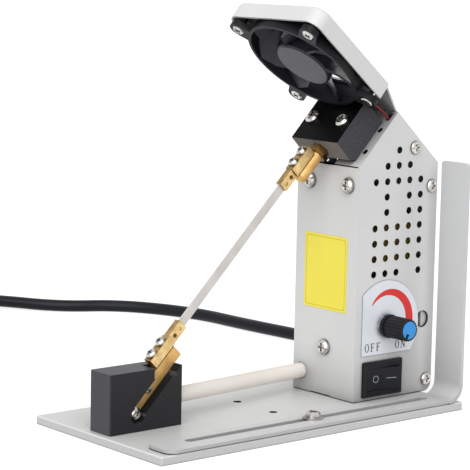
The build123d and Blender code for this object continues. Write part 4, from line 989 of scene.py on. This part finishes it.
white_ink = finish(
    "white_ink", srgb(164, 166, 170), srgb(152, 154, 158), srgb(180, 182, 184), (0.4, 0.5), edge=0.0,
)
ring_mark = sliver(
    "rocker_ring", on_rocker,
    ellipse(RING_X, SWITCH_Z, RING_HALF_A, RING_HALF_B),
    ellipse(RING_X, SWITCH_Z, RING_HALF_A - MARK_WIDTH, RING_HALF_B - MARK_WIDTH),
)
bar_xs = [BAR_FROM + (BAR_TO - BAR_FROM) * i / BAR_PARTS for i in range(BAR_PARTS + 1)]
bar_outline = [(x, SWITCH_Z - MARK_WIDTH / 2) for x in bar_xs]
bar_outline += [(x, SWITCH_Z + MARK_WIDTH / 2) for x in reversed(bar_xs)]
bar_mark = sliver("rocker_bar", on_rocker, bar_outline)
for mark in (ring_mark, bar_mark):
    ink_finish(mark, white_ink, "rocker")
print("rocker marks:", ring_mark.name, bar_mark.name)

# %% [markdown]
# ### Plain sticker on the front wall
# A vinyl sticker with rounded corners sits on the wall that faces the blade. It is plain yellow,
# with a thin darker line just inside its trimmed edge. Both are slivers like the other print, the
# sticker a little thicker because vinyl film can be felt.

# %% Outlines with rounded corners
STICKER_Y = (-12.7, 17.7)
STICKER_Z = (47.1, 84.0)
STICKER_CORNER = 1.2


def rounded(y0, y1, z0, z1, radius, count=8):
    corners = (
        (y1 - radius, z1 - radius, 0), (y0 + radius, z1 - radius, 90),
        (y0 + radius, z0 + radius, 180), (y1 - radius, z0 + radius, 270),
    )
    spots = []
    for y, z, start in corners:
        for i in range(count + 1):
            out = heading(start + 90 * i / count) * radius
            spots.append((y + out.x, z + out.y))
    return spots


def inset(by):
    low, high = STICKER_Y
    foot, top = STICKER_Z
    return rounded(low + by, high - by, foot + by, top - by, STICKER_CORNER)


print("sticker size:", STICKER_Y[1] - STICKER_Y[0], "by", STICKER_Z[1] - STICKER_Z[0], "mm")

# %% Lay the sticker and its line
FILM = 0.12
FILM_SUNK = 0.02
LINE_SUNK = 0.01
LINE_FILM = 0.03
LINE_FROM, LINE_TO = 1.1, 1.4


def on_front(a, b, level):
    return Vector((FRONT_WALL_X + FILM_SUNK - (FILM + FILM_SUNK) * level, a, b)) * MM


def on_film(a, b, level):
    return Vector((FRONT_WALL_X - FILM + LINE_SUNK - LINE_FILM * level, a, b)) * MM


vinyl = finish(
    "yellow_vinyl", srgb(247, 232, 82), srgb(242, 226, 78), srgb(250, 238, 120),
    (0.34, 0.46), scale=1300.0, bump=0.05, edge=0.1,
)
trim_ink = finish(
    "trim_ink", srgb(200, 180, 40), srgb(192, 172, 38), srgb(200, 180, 40), (0.38, 0.48), edge=0.0,
)
sticker = sliver("front_sticker", on_front, inset(0.0))
trim_line = sliver("sticker_line", on_film, inset(LINE_FROM), inset(LINE_TO))
for piece, material in ((sticker, vinyl), (trim_line, trim_ink)):
    ink_finish(piece, material, "tool")
print("sticker pieces:", sticker.name, trim_line.name)

# %% [markdown]
# ## Studio
# The tool stands on white paper under one wide, soft lamp. The world gives the even part of the light.
# More light would turn the paper white but wash the paint out. So to the camera, and in metal, both
# the world and the paper simply look white, and the paper still takes the tool's shadow because only
# part of its brightness is its own.

# %% White world
WORLD_LIGHT = 0.52
WHITE = (1.0, 1.0, 1.0, 1.0)


def looked_at(tree):
    rays = tree.nodes.new("ShaderNodeLightPath")
    seen = math_node(tree, "MAXIMUM", rays.outputs["Is Camera Ray"], rays.outputs["Is Glossy Ray"])
    return math_node(tree, "MAXIMUM", seen, rays.outputs["Is Transmission Ray"])


scene.view_settings.view_transform = "Standard"
world = bpy.data.worlds.new("white_studio")
scene.world = world
world.use_nodes = True
sky = world.node_tree
background = sky.nodes["Background"]
background.inputs["Color"].default_value = WHITE
lift = math_node(sky, "MULTIPLY", looked_at(sky), 1.0 - WORLD_LIGHT)
sky.links.new(math_node(sky, "ADD", lift, WORLD_LIGHT), background.inputs["Strength"])
print("world light:", WORLD_LIGHT)

# %% Paper floor
FLOOR_HALF = 6.0
FLOOR_CORNERS = [(-1, -1), (1, -1), (1, 1), (-1, 1)]

floor_mesh = bmesh.new()
floor_mesh.faces.new(
    [floor_mesh.verts.new((a * FLOOR_HALF, b * FLOOR_HALF, 0.0)) for a, b in FLOOR_CORNERS]
)
floor_data = bpy.data.meshes.new("paper_floor")
floor_mesh.to_mesh(floor_data)
floor_mesh.free()
floor = bpy.data.objects.new("paper_floor", floor_data)
scene.collection.objects.link(floor)
print("floor side:", 2 * FLOOR_HALF)

# %% Paper that looks white and still takes a shadow
PAPER_GREY = (0.45, 0.45, 0.45, 1.0)
PAPER_GLOW = 0.72
PAPER_ROUGHNESS = 0.9
PAPER_SHINE = 0.1

paper = bpy.data.materials.new("white_paper")
paper.use_nodes = True
sheet = paper.node_tree
paper_shader = sheet.nodes["Principled BSDF"]
paper_shader.inputs["Base Color"].default_value = PAPER_GREY
paper_shader.inputs["Roughness"].default_value = PAPER_ROUGHNESS
paper_shader.inputs["Specular IOR Level"].default_value = PAPER_SHINE
paper_shader.inputs["Emission Color"].default_value = WHITE
glow = math_node(sheet, "MULTIPLY", looked_at(sheet), PAPER_GLOW)
sheet.links.new(glow, paper_shader.inputs["Emission Strength"])
floor_data.materials.append(paper)
print("paper glow:", PAPER_GLOW)

# %% One wide lamp
LAMP_AZIMUTH = math.radians(-46.0)
LAMP_ELEVATION = math.radians(34.0)
LAMP_STRENGTH = 2.4
LAMP_WIDTH = math.radians(70.0)

lamp = bpy.data.lights.new("front_panel", "SUN")
lamp.energy = LAMP_STRENGTH
lamp.angle = LAMP_WIDTH
panel = bpy.data.objects.new("front_panel", lamp)
scene.collection.objects.link(panel)
panel.rotation_mode = "QUATERNION"
panel.rotation_quaternion = seen_from(LAMP_AZIMUTH, LAMP_ELEVATION).to_track_quat("Z", "Y")
print(panel.name, "strength", LAMP_STRENGTH)
